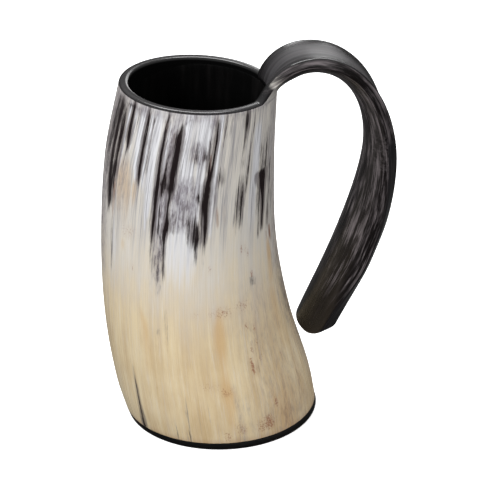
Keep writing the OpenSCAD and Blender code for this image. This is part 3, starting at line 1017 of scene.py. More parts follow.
@dataclass
class Fibres:
    """The noises that follow the horn's fibres, from long fine lines to clouds."""

    rise: Sock
    fine: Sock
    thread: Sock
    broad: Sock
    cloud: Sock
    dash: Sock
    strand: Sock
    grain: Sock
    ripple: Sock

    AVERAGE = 0.5
    WEAVES = {
        "fine": Weave(0.02, 1.7),
        "thread": Weave(0.025, 3.4, 2.0),
        "broad": Weave(0.035, 0.45, 3.0, 0.55),
        "cloud": Weave(0.45, 0.11, 4.0),
        "dash": Weave(0.25, 1.1, 4.0, 0.65),
        "strand": Weave(0.12, 0.8),
        "grain": Weave(0.7, 2.2),
        "ripple": Weave(1.0, 1.1, across=0.35),
    }

    @classmethod
    def spun(cls, g: Graph) -> "Fibres":
        """Add the noises to a material."""
        fibre = g.add("ShaderNodeAttribute", {"attribute_name": "fibre"}, None, "Vector")
        return cls(g.axis(fibre, 2), **{name: weave.spin(g, fibre) for name, weave in cls.WEAVES.items()})

    def mixed(self, **weights: float) -> Sock:
        """Add noises up.

        Args:
            weights: How much of each noise, by its name.

        Returns:
            The sum.
        """
        first, *rest = [getattr(self, name) * weight for name, weight in weights.items()]
        return sum(rest, first)

    def sway(self, **weights: float) -> Sock:
        """Add noises up by these weights, so that the sum swings about zero."""
        return self.mixed(**weights) - self.AVERAGE * sum(weights.values())


@dataclass(frozen=True)
class HornFinish(Finish):
    """Polished horn: cream and white with dark streaks, dark along the strip, black at cut edges, with a
    painted grey sheen on the strip's hollow face.
    """

    cream: Colour = linear(224, 206, 170)
    warm: Colour = linear(201, 176, 136)
    pale: Colour = linear(214, 209, 200)
    white: Colour = linear(229, 230, 234)
    tan: Colour = linear(206, 171, 122)
    ash: Colour = linear(140, 137, 142)
    mauve: Colour = linear(134, 128, 136)
    brown: Colour = linear(134, 92, 66)
    rust: Colour = linear(146, 94, 72)
    smoke: Colour = linear(98, 90, 91)
    dark: Colour = linear(30, 23, 24)
    strip_dark: Colour = linear(14, 11, 11)
    strip_grey: Colour = linear(110, 103, 105)
    # grey laid on the strip's hollow face, strongest across its middle: painted sheen
    hollow: Colour = linear(74, 72, 74)
    cut: Colour = linear(26, 25, 26)
    lacquer: Colour = linear(8, 8, 8)
    warm_patches: Band = Band(0.36, 0.68)
    pale_heights: Band = Band(36.0, 90.0)
    pale_lines: Band = Band(0.5, 0.75, 0.26)
    # painted shade: the horn is darkened towards brown in its lowest few millimetres above the disc
    foot_shade_heights: Band = Band(2.8, 6.0)
    foot_painted_shade: float = 0.3
    line_groups: Band = Band(0.45, 0.62, 0.65)
    stray_lines: float = 0.35
    grey_lines: Band = Band(0.5, 0.8, 0.2)
    white_fields: Band = Band(0.2, 0.85, 0.92)
    tan_fields: Band = Band(0.2, 1.0, 0.7)
    upper_heights: Band = Band(70.0, 104.0)
    ash_lines: Band = Band(0.45, 0.6, 0.6)
    ash_clouds: Band = Band(0.46, 0.66, 0.25)
    mauve_dashes: Band = Band(0.42, 0.6, 0.55)
    mauve_least: float = 0.45
    mauve_flecks: Band = Band(0.5, 0.62, 0.75)
    painted: Band = Band(0.02, 0.3)
    stains: Band = Band(0.25, 0.9, 0.85)
    speck_dots: Band = Band(0.4, 0.95, 0.7)
    speck_haze: float = 0.14
    smoky_fibres: Band = Band(0.2, 0.85, 0.75)
    dark_fibres: Band = Band(0.3, 0.86)
    strip_start: Band = Band(0.2, 0.75)
    strip_lines: Band = Band(0.45, 0.64)
    strip_patches: Band = Band(0.46, 0.6, 0.88)
    strip_least: float = 0.12
    strip_ripples: Band = Band(0.45, 0.62, 0.28)
    edge_greyer: float = 0.08
    tip_darker: float = 0.15
    tip_cover: float = 0.95
    faces: Band = Band(0.35, 0.65)
    edge_lines: Band = Band(0.5, 0.75, 0.2)
    hollow_sheen_patches: Band = Band(0.3, 0.7)
    cut_roughness: float = 0.14
    skin_roughness: float = 0.08
    fibre_roughness: float = 0.12
    hollow_roughness: float = 0.3
    relief: float = 0.35
    relief_depth: float = 0.12 * MM
    refraction: float = 1.5

    def material(self) -> bpy.types.Material:
        """Build the material from the horn's painted layers and its fibres.

        Returns:
            The material.
        """
        material, g = new_material("polished_horn")
        spun = Fibres.spun(g)
        body = self._ground(g, spun)
        for layer in (self._fields, self._streaks, self._strip):
            body = layer(g, body, spun)
        face, hollow = g.paint("face"), g.paint("hollow")
        skin, inside = self.faces.read(g, face), self.faces.read(g, 0.0 - face)
        edge = g.blend(self.edge_lines.read(g, spun.thread), self.cut, self.smoke)
        # painted sheen: grey patches on the strip's hollow face, strongest across its middle
        edge = g.blend(hollow * self.hollow_sheen_patches.read(g, spun.broad), edge, self.hollow)
        colour = g.blend(inside, g.blend(skin, edge, body), self.lacquer)
        polish = (spun.fine * self.fibre_roughness + self.skin_roughness) * skin
        rough = self.cut_roughness + polish + hollow * (1.0 - skin) * self.hollow_roughness
        normal = g.bump(spun.mixed(fine=0.45, thread=0.2, dash=0.35), self.relief, self.relief_depth)
        inputs = {"Base Color": colour, "Roughness": rough, "Normal": normal, "IOR": self.refraction}
        close_material(g, inputs)
        return material

    def _ground(self, g: Graph, spun: Fibres) -> Sock:
        """Start with cream that turns pale higher up, with thin pale and grey lines.

        Args:
            g: The material's graph.
            spun: The fibres.

        Returns:
            The colour.
        """
        low = g.blend(self.warm_patches.read(g, spun.mixed(broad=0.5, cloud=0.5)), self.cream, self.warm)
        height = spun.rise + spun.sway(cloud=50.0, broad=30.0)
        body = g.blend(self.pale_heights.read(g, height), low, self.pale)
        body = g.blend(self.pale_lines.read(g, spun.thread), body, self.white)
        # painted shade: brown darkening at the foot that fades out a few millimetres up
        foot = 1.0 - self.foot_shade_heights.read(g, spun.rise)
        body = g.blend(foot * self.foot_painted_shade, body, self.brown)
        grouped = self.stray_lines + self.line_groups.read(g, spun.broad)
        return g.blend(self.grey_lines.read(g, spun.fine) * grouped, body, self.ash)

    def _fields(self, g: Graph, body: Sock, spun: Fibres) -> Sock:
        """Add broad white, tan, ash and mauve fields; a few mauve fields are painted shade.

        Args:
            g: The material's graph.
            body: The colour so far.
            spun: The fibres.

        Returns:
            The colour with this on top.
        """
        white = g.paint("white") + spun.sway(fine=0.7, broad=0.5)
        body = g.blend(self.white_fields.read(g, white), body, self.white)
        tan = g.paint("tan") + spun.sway(cloud=0.8, fine=0.6)
        body = g.blend(self.tan_fields.read(g, tan), body, self.tan)
        upper = self.upper_heights.read(g, spun.rise + spun.sway(broad=45.0))
        lines = self.ash_lines.read(g, spun.mixed(fine=0.55, thread=0.45))
        body = g.blend((lines + self.ash_clouds.read(g, spun.broad)) * upper, body, self.ash)
        mauve = g.paint("mauve")
        cover = self.mauve_least + self.mauve_dashes.read(g, spun.dash)
        body = g.blend(mauve * cover, body, self.mauve)
        flecks = self.mauve_flecks.read(g, spun.mixed(dash=0.6, thread=0.4))
        return g.blend(mauve * flecks, body, self.smoke)

    def _streaks(self, g: Graph, body: Sock, spun: Fibres) -> Sock:
        """Add brown stains, rust specks and dark streaks that fray into smoky fibres; a few dark streaks
        are painted shade.

        Args:
            g: The material's graph.
            body: The colour so far.
            spun: The fibres.

        Returns:
            The colour with this on top.
        """
        brown, speck, smoke, dark = (g.paint(name) for name in ("brown", "speck", "smoke", "dark"))
        stain = self.stains.read(g, brown + spun.sway(fine=0.9, dash=0.5))
        body = g.blend(stain * self.painted.read(g, brown), body, self.brown)
        dots = self.speck_dots.read(g, speck + spun.sway(grain=2.4)) * self.painted.read(g, speck)
        body = g.blend(dots + speck * self.speck_haze, body, self.rust)
        fray = spun.sway(fine=1.4, thread=0.9, dash=0.7)
        drifted = smoke + fray * self.painted.read(g, smoke)
        body = g.blend(self.smoky_fibres.read(g, drifted), body, self.smoke)
        frayed = dark + fray * self.painted.read(g, dark)
        return g.blend(self.dark_fibres.read(g, frayed), body, self.dark)

    def _strip(self, g: Graph, body: Sock, spun: Fibres) -> Sock:
        """Add dark horn along the strip, with grey fibres and a crinkled patch.

        Args:
            g: The material's graph.
            body: The colour so far.
            spun: The fibres.

        Returns:
            The colour with this on top.
        """
        tip = g.paint("tip")
        lines = self.strip_lines.read(g, spun.mixed(strand=0.5, fine=0.3, thread=0.2))
        patch = spun.mixed(broad=0.5, strand=0.3, cloud=0.2)
        patch = patch + g.paint("near_edge") * self.edge_greyer - tip * self.tip_darker
        cover = self.strip_least + self.strip_patches.read(g, patch)
        strip = g.blend(lines * cover * (1.0 - tip * self.tip_cover), self.strip_dark, self.strip_grey)
        crinkle = self.strip_ripples.read(g, spun.ripple) * g.paint("crinkle")
        strip = g.blend(crinkle, strip, self.strip_grey)
        grip = g.paint("grip") + spun.sway(broad=0.8, fine=0.8)
        return g.blend(self.strip_start.read(g, grip), body, strip)


@dataclass(frozen=True)
class LacquerFinish(Finish):
    """Gloss black coat that was brushed on, with faint runs."""

    black: Colour = linear(7, 7, 7)
    worn: Colour = linear(18, 17, 17)
    runs: Weave = Weave(0.12, 240.0, 3.0, 0.55)
    grain: Weave = Weave(1.0, 1500.0, 2.0, 0.55)
    worn_runs: Band = Band(0.45, 0.8)
    gloss: float = 0.14
    run_roughness: float = 0.14
    grain_roughness: float = 0.05
    run_relief: float = 0.7
    relief: float = 0.3
    relief_depth: float = 0.12 * MM

    def material(self) -> bpy.types.Material:
        """Build the material.

        Returns:
            The material.
        """
        material, g = new_material("black_lacquer")
        runs, grain = (weave.spin(g, g.place()) for weave in (self.runs, self.grain))
        colour = g.blend(self.worn_runs.read(g, runs), self.black, self.worn)
        rough = self.gloss + runs * self.run_roughness + grain * self.grain_roughness
        normal = g.bump(mix(grain, runs, self.run_relief), self.relief, self.relief_depth)
        close_material(g, {"Base Color": colour, "Roughness": rough, "Normal": normal})
        return material


@dataclass(frozen=True)
class DiscFinish(Finish):
    """Satin black disc, sanded round its edge and rubbed brown where it meets the table."""

    black: Colour = linear(8, 8, 8)
    sanded: Colour = linear(20, 19, 19)
    rubbed: Colour = linear(128, 110, 92)
    sanding: Weave = Weave(9.0, 420.0, 3.0, 0.55)
    grain: Weave = Weave(1.0, 900.0, 4.0, 0.65)
    patch: Weave = Weave(1.0, 160.0, 3.0, 0.55)
    sanded_lines: Band = Band(0.45, 0.75, 0.6)
    rubbed_spots: Band = Band(0.5, 0.66)
    spot_patches: float = 0.45
    above_rub: Band = Band(0.1 * MM, 1.0 * MM)
    above_seat: Band = Band(0.02 * MM, 0.1 * MM)
    rub_strength: float = 0.8
    satin: float = 0.38
    sanded_roughness: float = 0.2
    rubbed_roughness: float = 0.2
    sanded_relief: float = 0.5
    relief: float = 0.3
    relief_depth: float = 0.1 * MM

    def material(self) -> bpy.types.Material:
        """Build the material.

        Returns:
            The material.
        """
        material, g = new_material("black_disc")
        place = g.place()
        height = g.axis(place, 2)
        sanding, grain, patch = (weave.spin(g, place) for weave in (self.sanding, self.grain, self.patch))
        low = (1.0 - self.above_rub.read(g, height)) * self.above_seat.read(g, height)
        rubbed = self.rubbed_spots.read(g, mix(grain, patch, self.spot_patches)) * low
        colour = g.blend(self.sanded_lines.read(g, sanding), self.black, self.sanded)
        colour = g.blend(rubbed * self.rub_strength, colour, self.rubbed)
        rough = self.satin + sanding * self.sanded_roughness + rubbed * self.rubbed_roughness
        normal = g.bump(mix(grain, sanding, self.sanded_relief), self.relief, self.relief_depth)
        close_material(g, {"Base Color": colour, "Roughness": rough, "Normal": normal})
        return material


@dataclass(frozen=True)
class ResinFinish(Finish):
    """Dark resin that shows as a hair line between horn and disc."""

    brown: Colour = linear(22, 19, 17)
    clear: Colour = linear(44, 36, 29)
    patch: Weave = Weave(1.0, 300.0, 3.0, 0.55)
    clear_patches: Band = Band(0.4, 0.7)
    gloss: float = 0.3
    patch_roughness: float = 0.2

    def material(self) -> bpy.types.Material:
        """Build the material.

        Returns:
            The material.
        """
        material, g = new_material("dark_resin")
        patch = self.patch.spin(g, g.place())
        colour = g.blend(self.clear_patches.read(g, patch), self.brown, self.clear)
        close_material(g, {"Base Color": colour, "Roughness": self.gloss + patch * self.patch_roughness})
        return material


def dress(piece: bpy.types.Object, slot: str, *nodes: str) -> None:
    """Put a finished piece on the frame.

    Args:
        piece: The piece.
        slot: The record's material slot of its finish. Not used.
        nodes: The solids that it stands for.
    """
    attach(piece, BODY)
    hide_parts(*nodes)
    LOG.info("%s stands for %s", piece.name, ", ".join(nodes))


@dataclass
class RingLoft:
    """A closed turned piece through rings, made by Geometry Nodes."""

    name: str
    rings: Sequence[Ring]
    pivot: float
    sides: int = 180
    weld: float = 0.002 * MM

    TREE = "ring_loft"
    LAYERS = ("half_width", "half_depth", "slope")

    def build(self, material: bpy.types.Material) -> bpy.types.Object:
        """Make the piece as a plain mesh.

        Args:
            material: Its material.

        Returns:
            The piece.
        """
        profile = bpy.data.meshes.new(self.name + "_rings")
        profile.from_pydata([(r.centre, 0.0, r.height) for r in self.rings], [], [])
        for layer in self.LAYERS:
            values = np.array([getattr(r, layer) for r in self.rings], np.float32)
            profile.attributes.new(layer, "FLOAT", "POINT").data.foreach_set("value", values)
        piece = bpy.data.objects.new(self.name, profile)
        bpy.context.scene.collection.objects.link(piece)
        tree = bpy.data.node_groups.get(self.TREE) or self._tree()
        modifier = piece.modifiers.new("loft", "NODES")
        modifier.node_group = tree
        values = {"Sides": self.sides, "Pivot": self.pivot, "Weld": self.weld, "Finish": material}
        for item in tree.interface.items_tree:
            if item.in_out == "INPUT" and item.name in values:
                modifier[item.identifier] = values[item.name]
        graph = bpy.context.evaluated_depsgraph_get()
        made = bpy.data.meshes.new_from_object(piece.evaluated_get(graph))
        piece.modifiers.clear()
        piece.data = made
        made.name = self.name
        bpy.data.meshes.remove(profile)
        return piece

    def _tree(self) -> bpy.types.NodeTree:
        """Build the node tree that lofts rings of any size.

        Returns:
            The tree.
        """
        tree = bpy.data.node_groups.new(self.TREE, "GeometryNodeTree")
        sockets = {
            "Rings": "Geometry",
            "Sides": "Int",
            "Pivot": "Float",
            "Weld": "Float",
            "Finish": "Material",
        }
        for name, kind in sockets.items():
            tree.interface.new_socket(name, in_out="INPUT", socket_type="NodeSocket" + kind)
        tree.interface.new_socket("Loft", in_out="OUTPUT", socket_type="NodeSocketGeometry")
        g = Graph(tree)
        entry = tree.nodes.new("NodeGroupInput")
        rings, sides, pivot, weld, finish = (Sock(g, entry.outputs[name]) for name in sockets)
        size = {"component": "MESH"}
        count = g.add("GeometryNodeAttributeDomainSize", size, {"Geometry": rings}, "Point Count")
        sheet = g.add("GeometryNodeMeshGrid", {}, {"Vertices X": sides + 1.0, "Vertices Y": count}, "Mesh")
        index = g.add("GeometryNodeInputIndex")
        ring = index % count
        angle = ((index + 0.5) / count).apply("FLOOR") * math.tau / sides
        half_width, half_depth, slope = (self._layer(g, rings, ring, name) for name in self.LAYERS)
        place = {"Geometry": rings, "Value": g.add("GeometryNodeInputPosition"), "Index": ring}
        centre = g.add("GeometryNodeSampleIndex", {"data_type": "FLOAT_VECTOR"}, place)
        x = g.axis(centre, 0) + half_width * angle.apply("COSINE")
        y = half_depth * angle.apply("SINE")
        z = g.axis(centre, 2) - slope * (x - pivot)
        target = g.add("ShaderNodeCombineXYZ", {}, {0: x, 1: y, 2: z})
        shell = g.add("GeometryNodeSetPosition", {}, {"Geometry": sheet, "Position": target})
        shell = g.add("GeometryNodeMergeByDistance", {}, {"Geometry": shell, "Distance": weld})
        shell = g.add("GeometryNodeSetShadeSmooth", {}, {"Geometry": shell, "Shade Smooth": True})
        shell = g.add("GeometryNodeRealizeInstances", {}, {"Geometry": shell})
        shell = g.add("GeometryNodeSetMaterial", {}, {"Geometry": shell, "Material": finish})
        g.add("NodeGroupOutput", {}, {0: shell})
        return tree

    @staticmethod
    def _layer(g: Graph, rings: Sock, ring: Sock, name: str) -> Sock:
        """Read one value of the ring that a point belongs to.

        Args:
            g: The tree's graph.
            rings: The rings' geometry.
            ring: The ring's number at each point.
            name: Name of the value.

        Returns:
            The value.
        """
        value = g.add("GeometryNodeInputNamedAttribute", {"data_type": "FLOAT"}, {"Name": name})
        inputs = {"Geometry": rings, "Value": value, "Index": ring}
        return g.add("GeometryNodeSampleIndex", {"data_type": "FLOAT"}, inputs)


class Part(Enum):
    """The two pieces that the horn's skin is parted in. The value is the piece's name."""

    TUBE = "horn_tube"
    STRIP = "handle_strip"


@dataclass
class SkinMesh:
    """Points, faces and painted layers of the whole horn before it is parted in two."""

    points: list[Array] = field(default_factory=list)
    angle: list[Array] = field(default_factory=list)
    length: list[Array] = field(default_factory=list)
    face: list[Array] = field(default_factory=list)
    run: list[Array] = field(default_factory=list)
    quads: dict[Part, list[Array]] = field(default_factory=dict)
    caps: list[list[int]] = field(default_factory=list)
    count: int = 0

    def add_points(self, points: Array, angle: Array, length: Array, face: Number, run: Number) -> Array:
        """Add a grid of points.

        Args:
            points: Coordinates in the last axis.
            angle: Angle round the horn in degrees.
            length: Distance along the fibres in millimetres.
            face: 1 on the outer face, 0 on cut faces and -1 on the blackened inside.
            run: Distance along the strip in millimetres.

        Returns:
            The points' numbers in the same grid.
        """
        shape = points.shape[:-1]
        size = int(np.prod(shape))
        self.points.append(points.reshape(-1, 3))
        stores = (self.angle, self.length, self.face, self.run)
        for store, value in zip(stores, (angle, length, face, run)):
            store.append(np.broadcast_to(value, shape).reshape(-1))
        numbers = np.arange(self.count, self.count + size).reshape(shape)
        self.count += size
        return numbers

    def add_quads(self, part: Part, a: Array, b: Array, c: Array, d: Array) -> None:
        """Add faces with these four corners to a part."""
        corners = np.stack([a.ravel(), b.ravel(), c.ravel(), d.ravel()], axis=1)
        self.quads.setdefault(part, []).append(corners)

    def add_sheet(self, part: Part, grid: Array, flipped: bool = False) -> None:
        """Add the faces of a grid of rows and columns to a part."""
        corners = [grid[:-1, :-1], grid[:-1, 1:], grid[1:, 1:], grid[1:, :-1]]
        self.add_quads(part, *(corners[::-1] if flipped else corners))


@dataclass
class HornShell:
    """The horn with its strip as one skin, parted at the rim into the tube and the handle.

    Where paint begins and ends is given in millimetres along the strip, from the rim, and turns of the
    pattern in degrees.
    """

    horn: HornForm
    strip: StripForm
    foot: float
    finish: HornFinish
    root_columns: int = 152
    back_columns: int = 220
    front_columns: int = 372
    outer_rows: int = 92
    inner_rows: int = 8
    arc_steps: int = 4
    flat_steps: int = 3
    foot_edge: float = 0.15 * MM
    fibre_radius: float = 30.0
    fibre_drift: float = 0.09
    fibre_lean: float = 0.00035
    bare_root: float = -3.2
    dark_root: float = 12.0
    smoke_spread: float = 0.8
    rim_grey: float = 0.6
    rim_grey_drop: float = 3.5
    thin_edge: float = 24.0
    edge_turn: float = 9.0
    edge_root: float = 8.0
    black_edge: tuple[float, float] = (45.0, 70.0)
    corner_share: float = 0.15
    corner_horn: float = 0.5
    black_from: float = 0.7
    arch_horn_to: float = 0.77
    arch_horn_fade: float = 0.18
    hollow_rise: float = 2.0
    crinkle_from: float = 52.0
    crinkle_to: float = 72.0
    crinkle_fade: float = 8.0
    dark_tip: float = 34.0

    OFF_STRIP = -99.0

    def build(self) -> list[bpy.types.Object]:
        """Make the tube and the handle.

        Returns:
            The two pieces.
        """
        skin = SkinMesh()
        outer, inner = self._tube(skin)
        strip_outer, strip_inner = self._strip(skin, outer[-1], inner[-1])
        self._edge(skin, outer[-1], inner[-1], strip_outer, strip_inner)
        material = self.finish.material()
        points = np.concatenate(skin.points)
        layers = self._layers(skin)
        normals = self._normals(points, skin)
        return [self._piece(part, skin, points, normals, layers, material) for part in Part]

    def _angles(self) -> tuple[Array, Array]:
        """Columns of the strip and angles of all columns.

        Returns:
            Columns from -1 to 1, and angles in radians round the whole horn.
        """
        across = np.linspace(-1, 1, self.root_columns + 1)
        root = self.strip.rim_angle(across)
        back = np.linspace(root[-1], math.pi, self.back_columns + 1)[1:]
        front = np.linspace(math.pi, root[0] + math.tau, self.front_columns + 1)[1:-1]
        return across, np.concatenate([root, back, front])

    def _tube(self, skin: SkinMesh) -> tuple[Array, Array]:
        """Add the tube's outer and inner faces and its foot.

        Args:
            skin: The mesh that is being made.

        Returns:
            Numbers of the points of both faces, by row and column.
        """
        horn = self.horn
        _, angle = self._angles()
        degrees = np.degrees(angle)
        foot_level = self.foot / horn.rim_height
        grids = []
        for rows, face in ((self.outer_rows, 1.0), (self.inner_rows, -1.0)):
            rest = np.linspace(foot_level + self.foot_edge / horn.rim_height, 1.0, rows)
            level = np.concatenate([[foot_level], rest])[:, None]
            inset = (1 - face) / 2 * horn.wall(level)
            points = horn.point(level, inset, angle[None])
            points[..., 2] -= horn.lip * (level - foot_level) / (1 - foot_level)
            grids.append(skin.add_points(points, degrees, points[..., 2] / MM, face, self.OFF_STRIP))
        outer, inner = (np.concatenate([g, g[:, :1]], axis=1) for g in grids)
        skin.add_sheet(Part.TUBE, outer)
        skin.add_sheet(Part.TUBE, inner, flipped=True)
        skin.add_quads(Part.TUBE, inner[0, :-1], inner[0, 1:], outer[0, 1:], outer[0, :-1])
        return grids[0], grids[1]

    def _strip(self, skin: SkinMesh, outer_rim: Array, inner_rim: Array) -> tuple[Array, Array]:
        """Add the strip's round and hollow faces above the rim.

        Args:
            skin: The mesh that is being made.
            outer_rim: Numbers of the tube's outer top row.
            inner_rim: Numbers of the tube's inner top row.

        Returns:
            Numbers of the points of both faces, by row and column.
        """
        across, angle = self._angles()
        degrees = np.degrees(angle[: self.root_columns + 1])
        run = self.strip.run[1:, None] / MM
        length = self.horn.rim_height / MM + run
        grids = []
        for rim, face in ((outer_rim, 0.5), (inner_rim, -0.5)):
            points = self.strip.points(across, face)[1:]
            grid = skin.add_points(points, degrees[None], length, face + 0.5, run)
            grids.append(np.concatenate([rim[None, : self.root_columns + 1], grid]))
        skin.add_sheet(Part.STRIP, grids[0])
        skin.add_sheet(Part.STRIP, grids[1], flipped=True)
        return grids[0], grids[1]

    def _edge(
        self, skin: SkinMesh, outer_rim: Array, inner_rim: Array, outer: Array, inner: Array
    ) -> None:
        """Join the two faces by one rounded edge round the rim and the strip, and close the parting.

        Args:
            skin: The mesh that is being made.
            outer_rim: Numbers of the tube's outer top row.
            inner_rim: Numbers of the tube's inner top row.
            outer: Numbers of the strip's round face.
            inner: Numbers of the strip's hollow face.
        """
        last = self.root_columns
        loops = []
        for rim, sheet in ((outer_rim, outer), (inner_rim, inner)):
            loops.append(np.concatenate([rim[last:], sheet[:, 0], sheet[-1, 1:-1], sheet[::-1, -1][:-1]]))
        rim_count = len(outer_rim) - last
        points = np.concatenate(skin.points)
        stores = (skin.angle, skin.length, skin.run)
        angle, length, run = (np.concatenate(store)[loops[0]] for store in stores)
        steps = self._round_over(points[loops[0]], points[loops[1]], run)
        share = (np.arange(len(steps))[:, None] + 1.0) / (len(steps) + 1)
        turned = angle + self._side(angle) * self.edge_turn * share * ease(run / self.edge_root)
        grid = skin.add_points(steps, turned, length, self._edge_face(share, run), run)
        grid = np.concatenate([loops[0][None], grid, loops[1][None]])
        grid = np.concatenate([grid, grid[:, :1]], axis=1)
        skin.add_sheet(Part.TUBE, grid[:, : rim_count + 1])
        skin.add_sheet(Part.STRIP, grid[:, rim_count:])
        seam = np.stack([outer[0, :-1], outer[0, 1:], inner[0, 1:], inner[0, :-1]], axis=1)
        skin.caps = [*seam.tolist(), grid[::-1, rim_count].tolist(), grid[:, -1].tolist()]

    def _round_over(self, outer: Array, inner: Array, run: Array) -> Array:
        """Round the edge over from the outer face to the inner.

        Args:
            outer: Points of the outer face along the edge.
            inner: Points of the inner face along the edge.
            run: Distances along the strip in millimetres.

        Returns:
            Points between the two faces, by step and by place along the edge.
        """
        middle = (outer + inner) / 2
        across = outer - inner
        wall = np.linalg.norm(across, axis=1, keepdims=True)
        across = across / wall
        along = np.roll(middle, -1, axis=0) - np.roll(middle, 1, axis=0)
        out = unit(np.cross(across, along))
        radius = mix(self.horn.lip, self.strip.edge, ease(run / self.thin_edge))[:, None]
        turns = np.linspace(0, math.pi / 2, self.arc_steps + 1)[1:]
        shares = np.linspace(0, 1, self.flat_steps + 1)[1:-1]
        arcs = [(out * radius * math.sin(turn), across * radius * (1 - math.cos(turn))) for turn in turns]
        steps = [outer + rise - sink for rise, sink in arcs]
        steps += [outer + out * radius - across * mix(radius, wall - radius, share) for share in shares]
        steps += [inner + rise + sink for rise, sink in arcs[::-1]]
        return np.stack(steps)

    def _side(self, degrees: Array) -> Array:
        """Where angles lie across the strip, from the front edge (-1) to the back edge (1)."""
        front, middle = np.degrees(self.strip.rim_angle(np.array([-1.0, 0.0])))
        return np.clip((degrees - middle) / (middle - front), -1.0, 1.0)

    def _edge_face(self, share: Array, run: Array) -> Array:
        """How the edge is coloured: black at the rim and the grip, horn over the arch.

        Args:
            share: How far across the edge, from the outer face (0) to the inner (1).
            run: Distances along the strip in millimetres.

        Returns:
            Values of the face layer.
        """
        corner = np.where(share < self.corner_share, self.corner_horn, 0.0)
        rim = np.where(share > self.black_from, -1.0, corner)
        arch = ease((self.arch_horn_to - share) / self.arch_horn_fade)
        first, last = self.black_edge
        raised = mix(rim, arch, ease(run / self.edge_root))
        return mix(raised, corner, ease((run - first) / (last - first)))

    def _layers(self, skin: SkinMesh) -> dict[str, Array]:
        """Paint every layer that the finish reads.

        Args:
            skin: The finished mesh.

        Returns:
            One value or vector for each point, by layer.
        """
        angle, length = np.concatenate(skin.angle), np.concatenate(skin.length)
        run = np.concatenate(skin.run)
        layers = {pigment.value: np.zeros(skin.count) for pigment in Pigment}
        layers["smoke"] = np.zeros(skin.count)
        streaks = WHITE_FIELDS + DARK_STREAKS + MAUVE_FIELDS + TAN_FIELDS + BROWN_STAINS + SPECK_PATCHES
        for streak in streaks + BackStreaks().streaks():
            layer = streak.pigment.value
            layers[layer] = np.maximum(layers[layer], streak.weight(angle, length))
            if streak.pigment is Pigment.DARK:
                spread = streak.weight(angle, length, self.smoke_spread)
                layers["smoke"] = np.maximum(layers["smoke"], spread)
        top = self.horn.rim_height / MM - self.horn.lip / MM
        smear = self.rim_grey * ease((length - top) / self.rim_grey_drop + 1) * (run < 0)
        layers[Pigment.MAUVE.value] = np.maximum(layers[Pigment.MAUVE.value], smear)
        layers["face"] = np.concatenate(skin.face)
        layers["grip"] = ease((run - self.bare_root) / (self.dark_root - self.bare_root))
        near_edge = np.abs(self._side(angle)) * (run > 0)
        rises = ease((run - self.crinkle_from) / self.crinkle_fade)
        falls = ease((self.crinkle_to - run) / self.crinkle_fade)
        layers["near_edge"] = near_edge
        # marks the strip's hollow face, highest across its middle; it sets roughness there and places the
        # painted sheen
        layers["hollow"] = ease(self.hollow_rise * (1.0 - near_edge)) * (run > 0)
        layers["crinkle"] = near_edge * rises * falls
        layers["tip"] = ease((run - self.strip.run[-1] / MM) / self.dark_tip + 1)
        below = np.maximum(self.horn.rim_height / MM - length, 0.0)
        settled = np.radians(angle + self.fibre_drift * below + self.fibre_lean * below**2)
        round_x, round_y = self.fibre_radius * np.cos(settled), self.fibre_radius * np.sin(settled)
        layers["fibre"] = np.stack([round_x, round_y, length], axis=1)
        return layers

    @staticmethod
    def _normals(points: Array, skin: SkinMesh) -> Array:
        """Smooth normals of the whole skin, so that the parting does not show.

        Args:
            points: All points.
            skin: The finished mesh.

        Returns:
            One normal for each point.
        """
        quads = np.concatenate([q for part in skin.quads.values() for q in part])
        corners = points[quads]
        flat = np.cross(corners[:, 2] - corners[:, 0], corners[:, 3] - corners[:, 1])
        normals = np.zeros_like(points)
        for k in range(4):
            np.add.at(normals, quads[:, k], flat)
        return unit(normals)

    def _piece(
        self,
        part: Part,
        skin: SkinMesh,
        points: Array,
        normals: Array,
        layers: Mapping[str, Array],
        material: bpy.types.Material,
    ) -> bpy.types.Object:
        """Make one part of the skin a closed piece.

        Args:
            part: Which part.
            skin: The finished mesh.
            points: All points.
            normals: All normals.
            layers: All painted layers.
            material: The horn's material.

        Returns:
            The piece.
        """
        below = part is Part.TUBE
        faces = np.concatenate(skin.quads[part]).tolist()
        skin_corners = 4 * len(faces)
        faces += skin.caps if below else [cap[::-1] for cap in skin.caps]
        used = np.unique(np.concatenate([np.ravel(f) for f in faces]))
        renumber = np.zeros(skin.count, int)
        renumber[used] = np.arange(len(used))
        mesh = bpy.data.meshes.new(part.value)
        mesh.from_pydata(points[used].tolist(), [], [renumber[f].tolist() for f in faces])
        for name, values in layers.items():
            wide = values.ndim > 1
            layer = mesh.attributes.new(name, "FLOAT_VECTOR" if wide else "FLOAT", "POINT")
            layer.data.foreach_set("vector" if wide else "value", values[used].astype(np.float32).ravel())
        order = np.concatenate([np.ravel(f) for f in faces])
        corner_normals = normals[order]
        corner_normals[skin_corners:] = (0.0, 0.0, 1.0 if below else -1.0)
        mesh.polygons.foreach_set("use_smooth", np.ones(len(faces), bool))
        mesh.normals_split_custom_set(corner_normals.tolist())
        mesh.materials.append(material)
        piece = bpy.data.objects.new(part.value, mesh)
        bpy.context.scene.collection.objects.link(piece)
        return piece


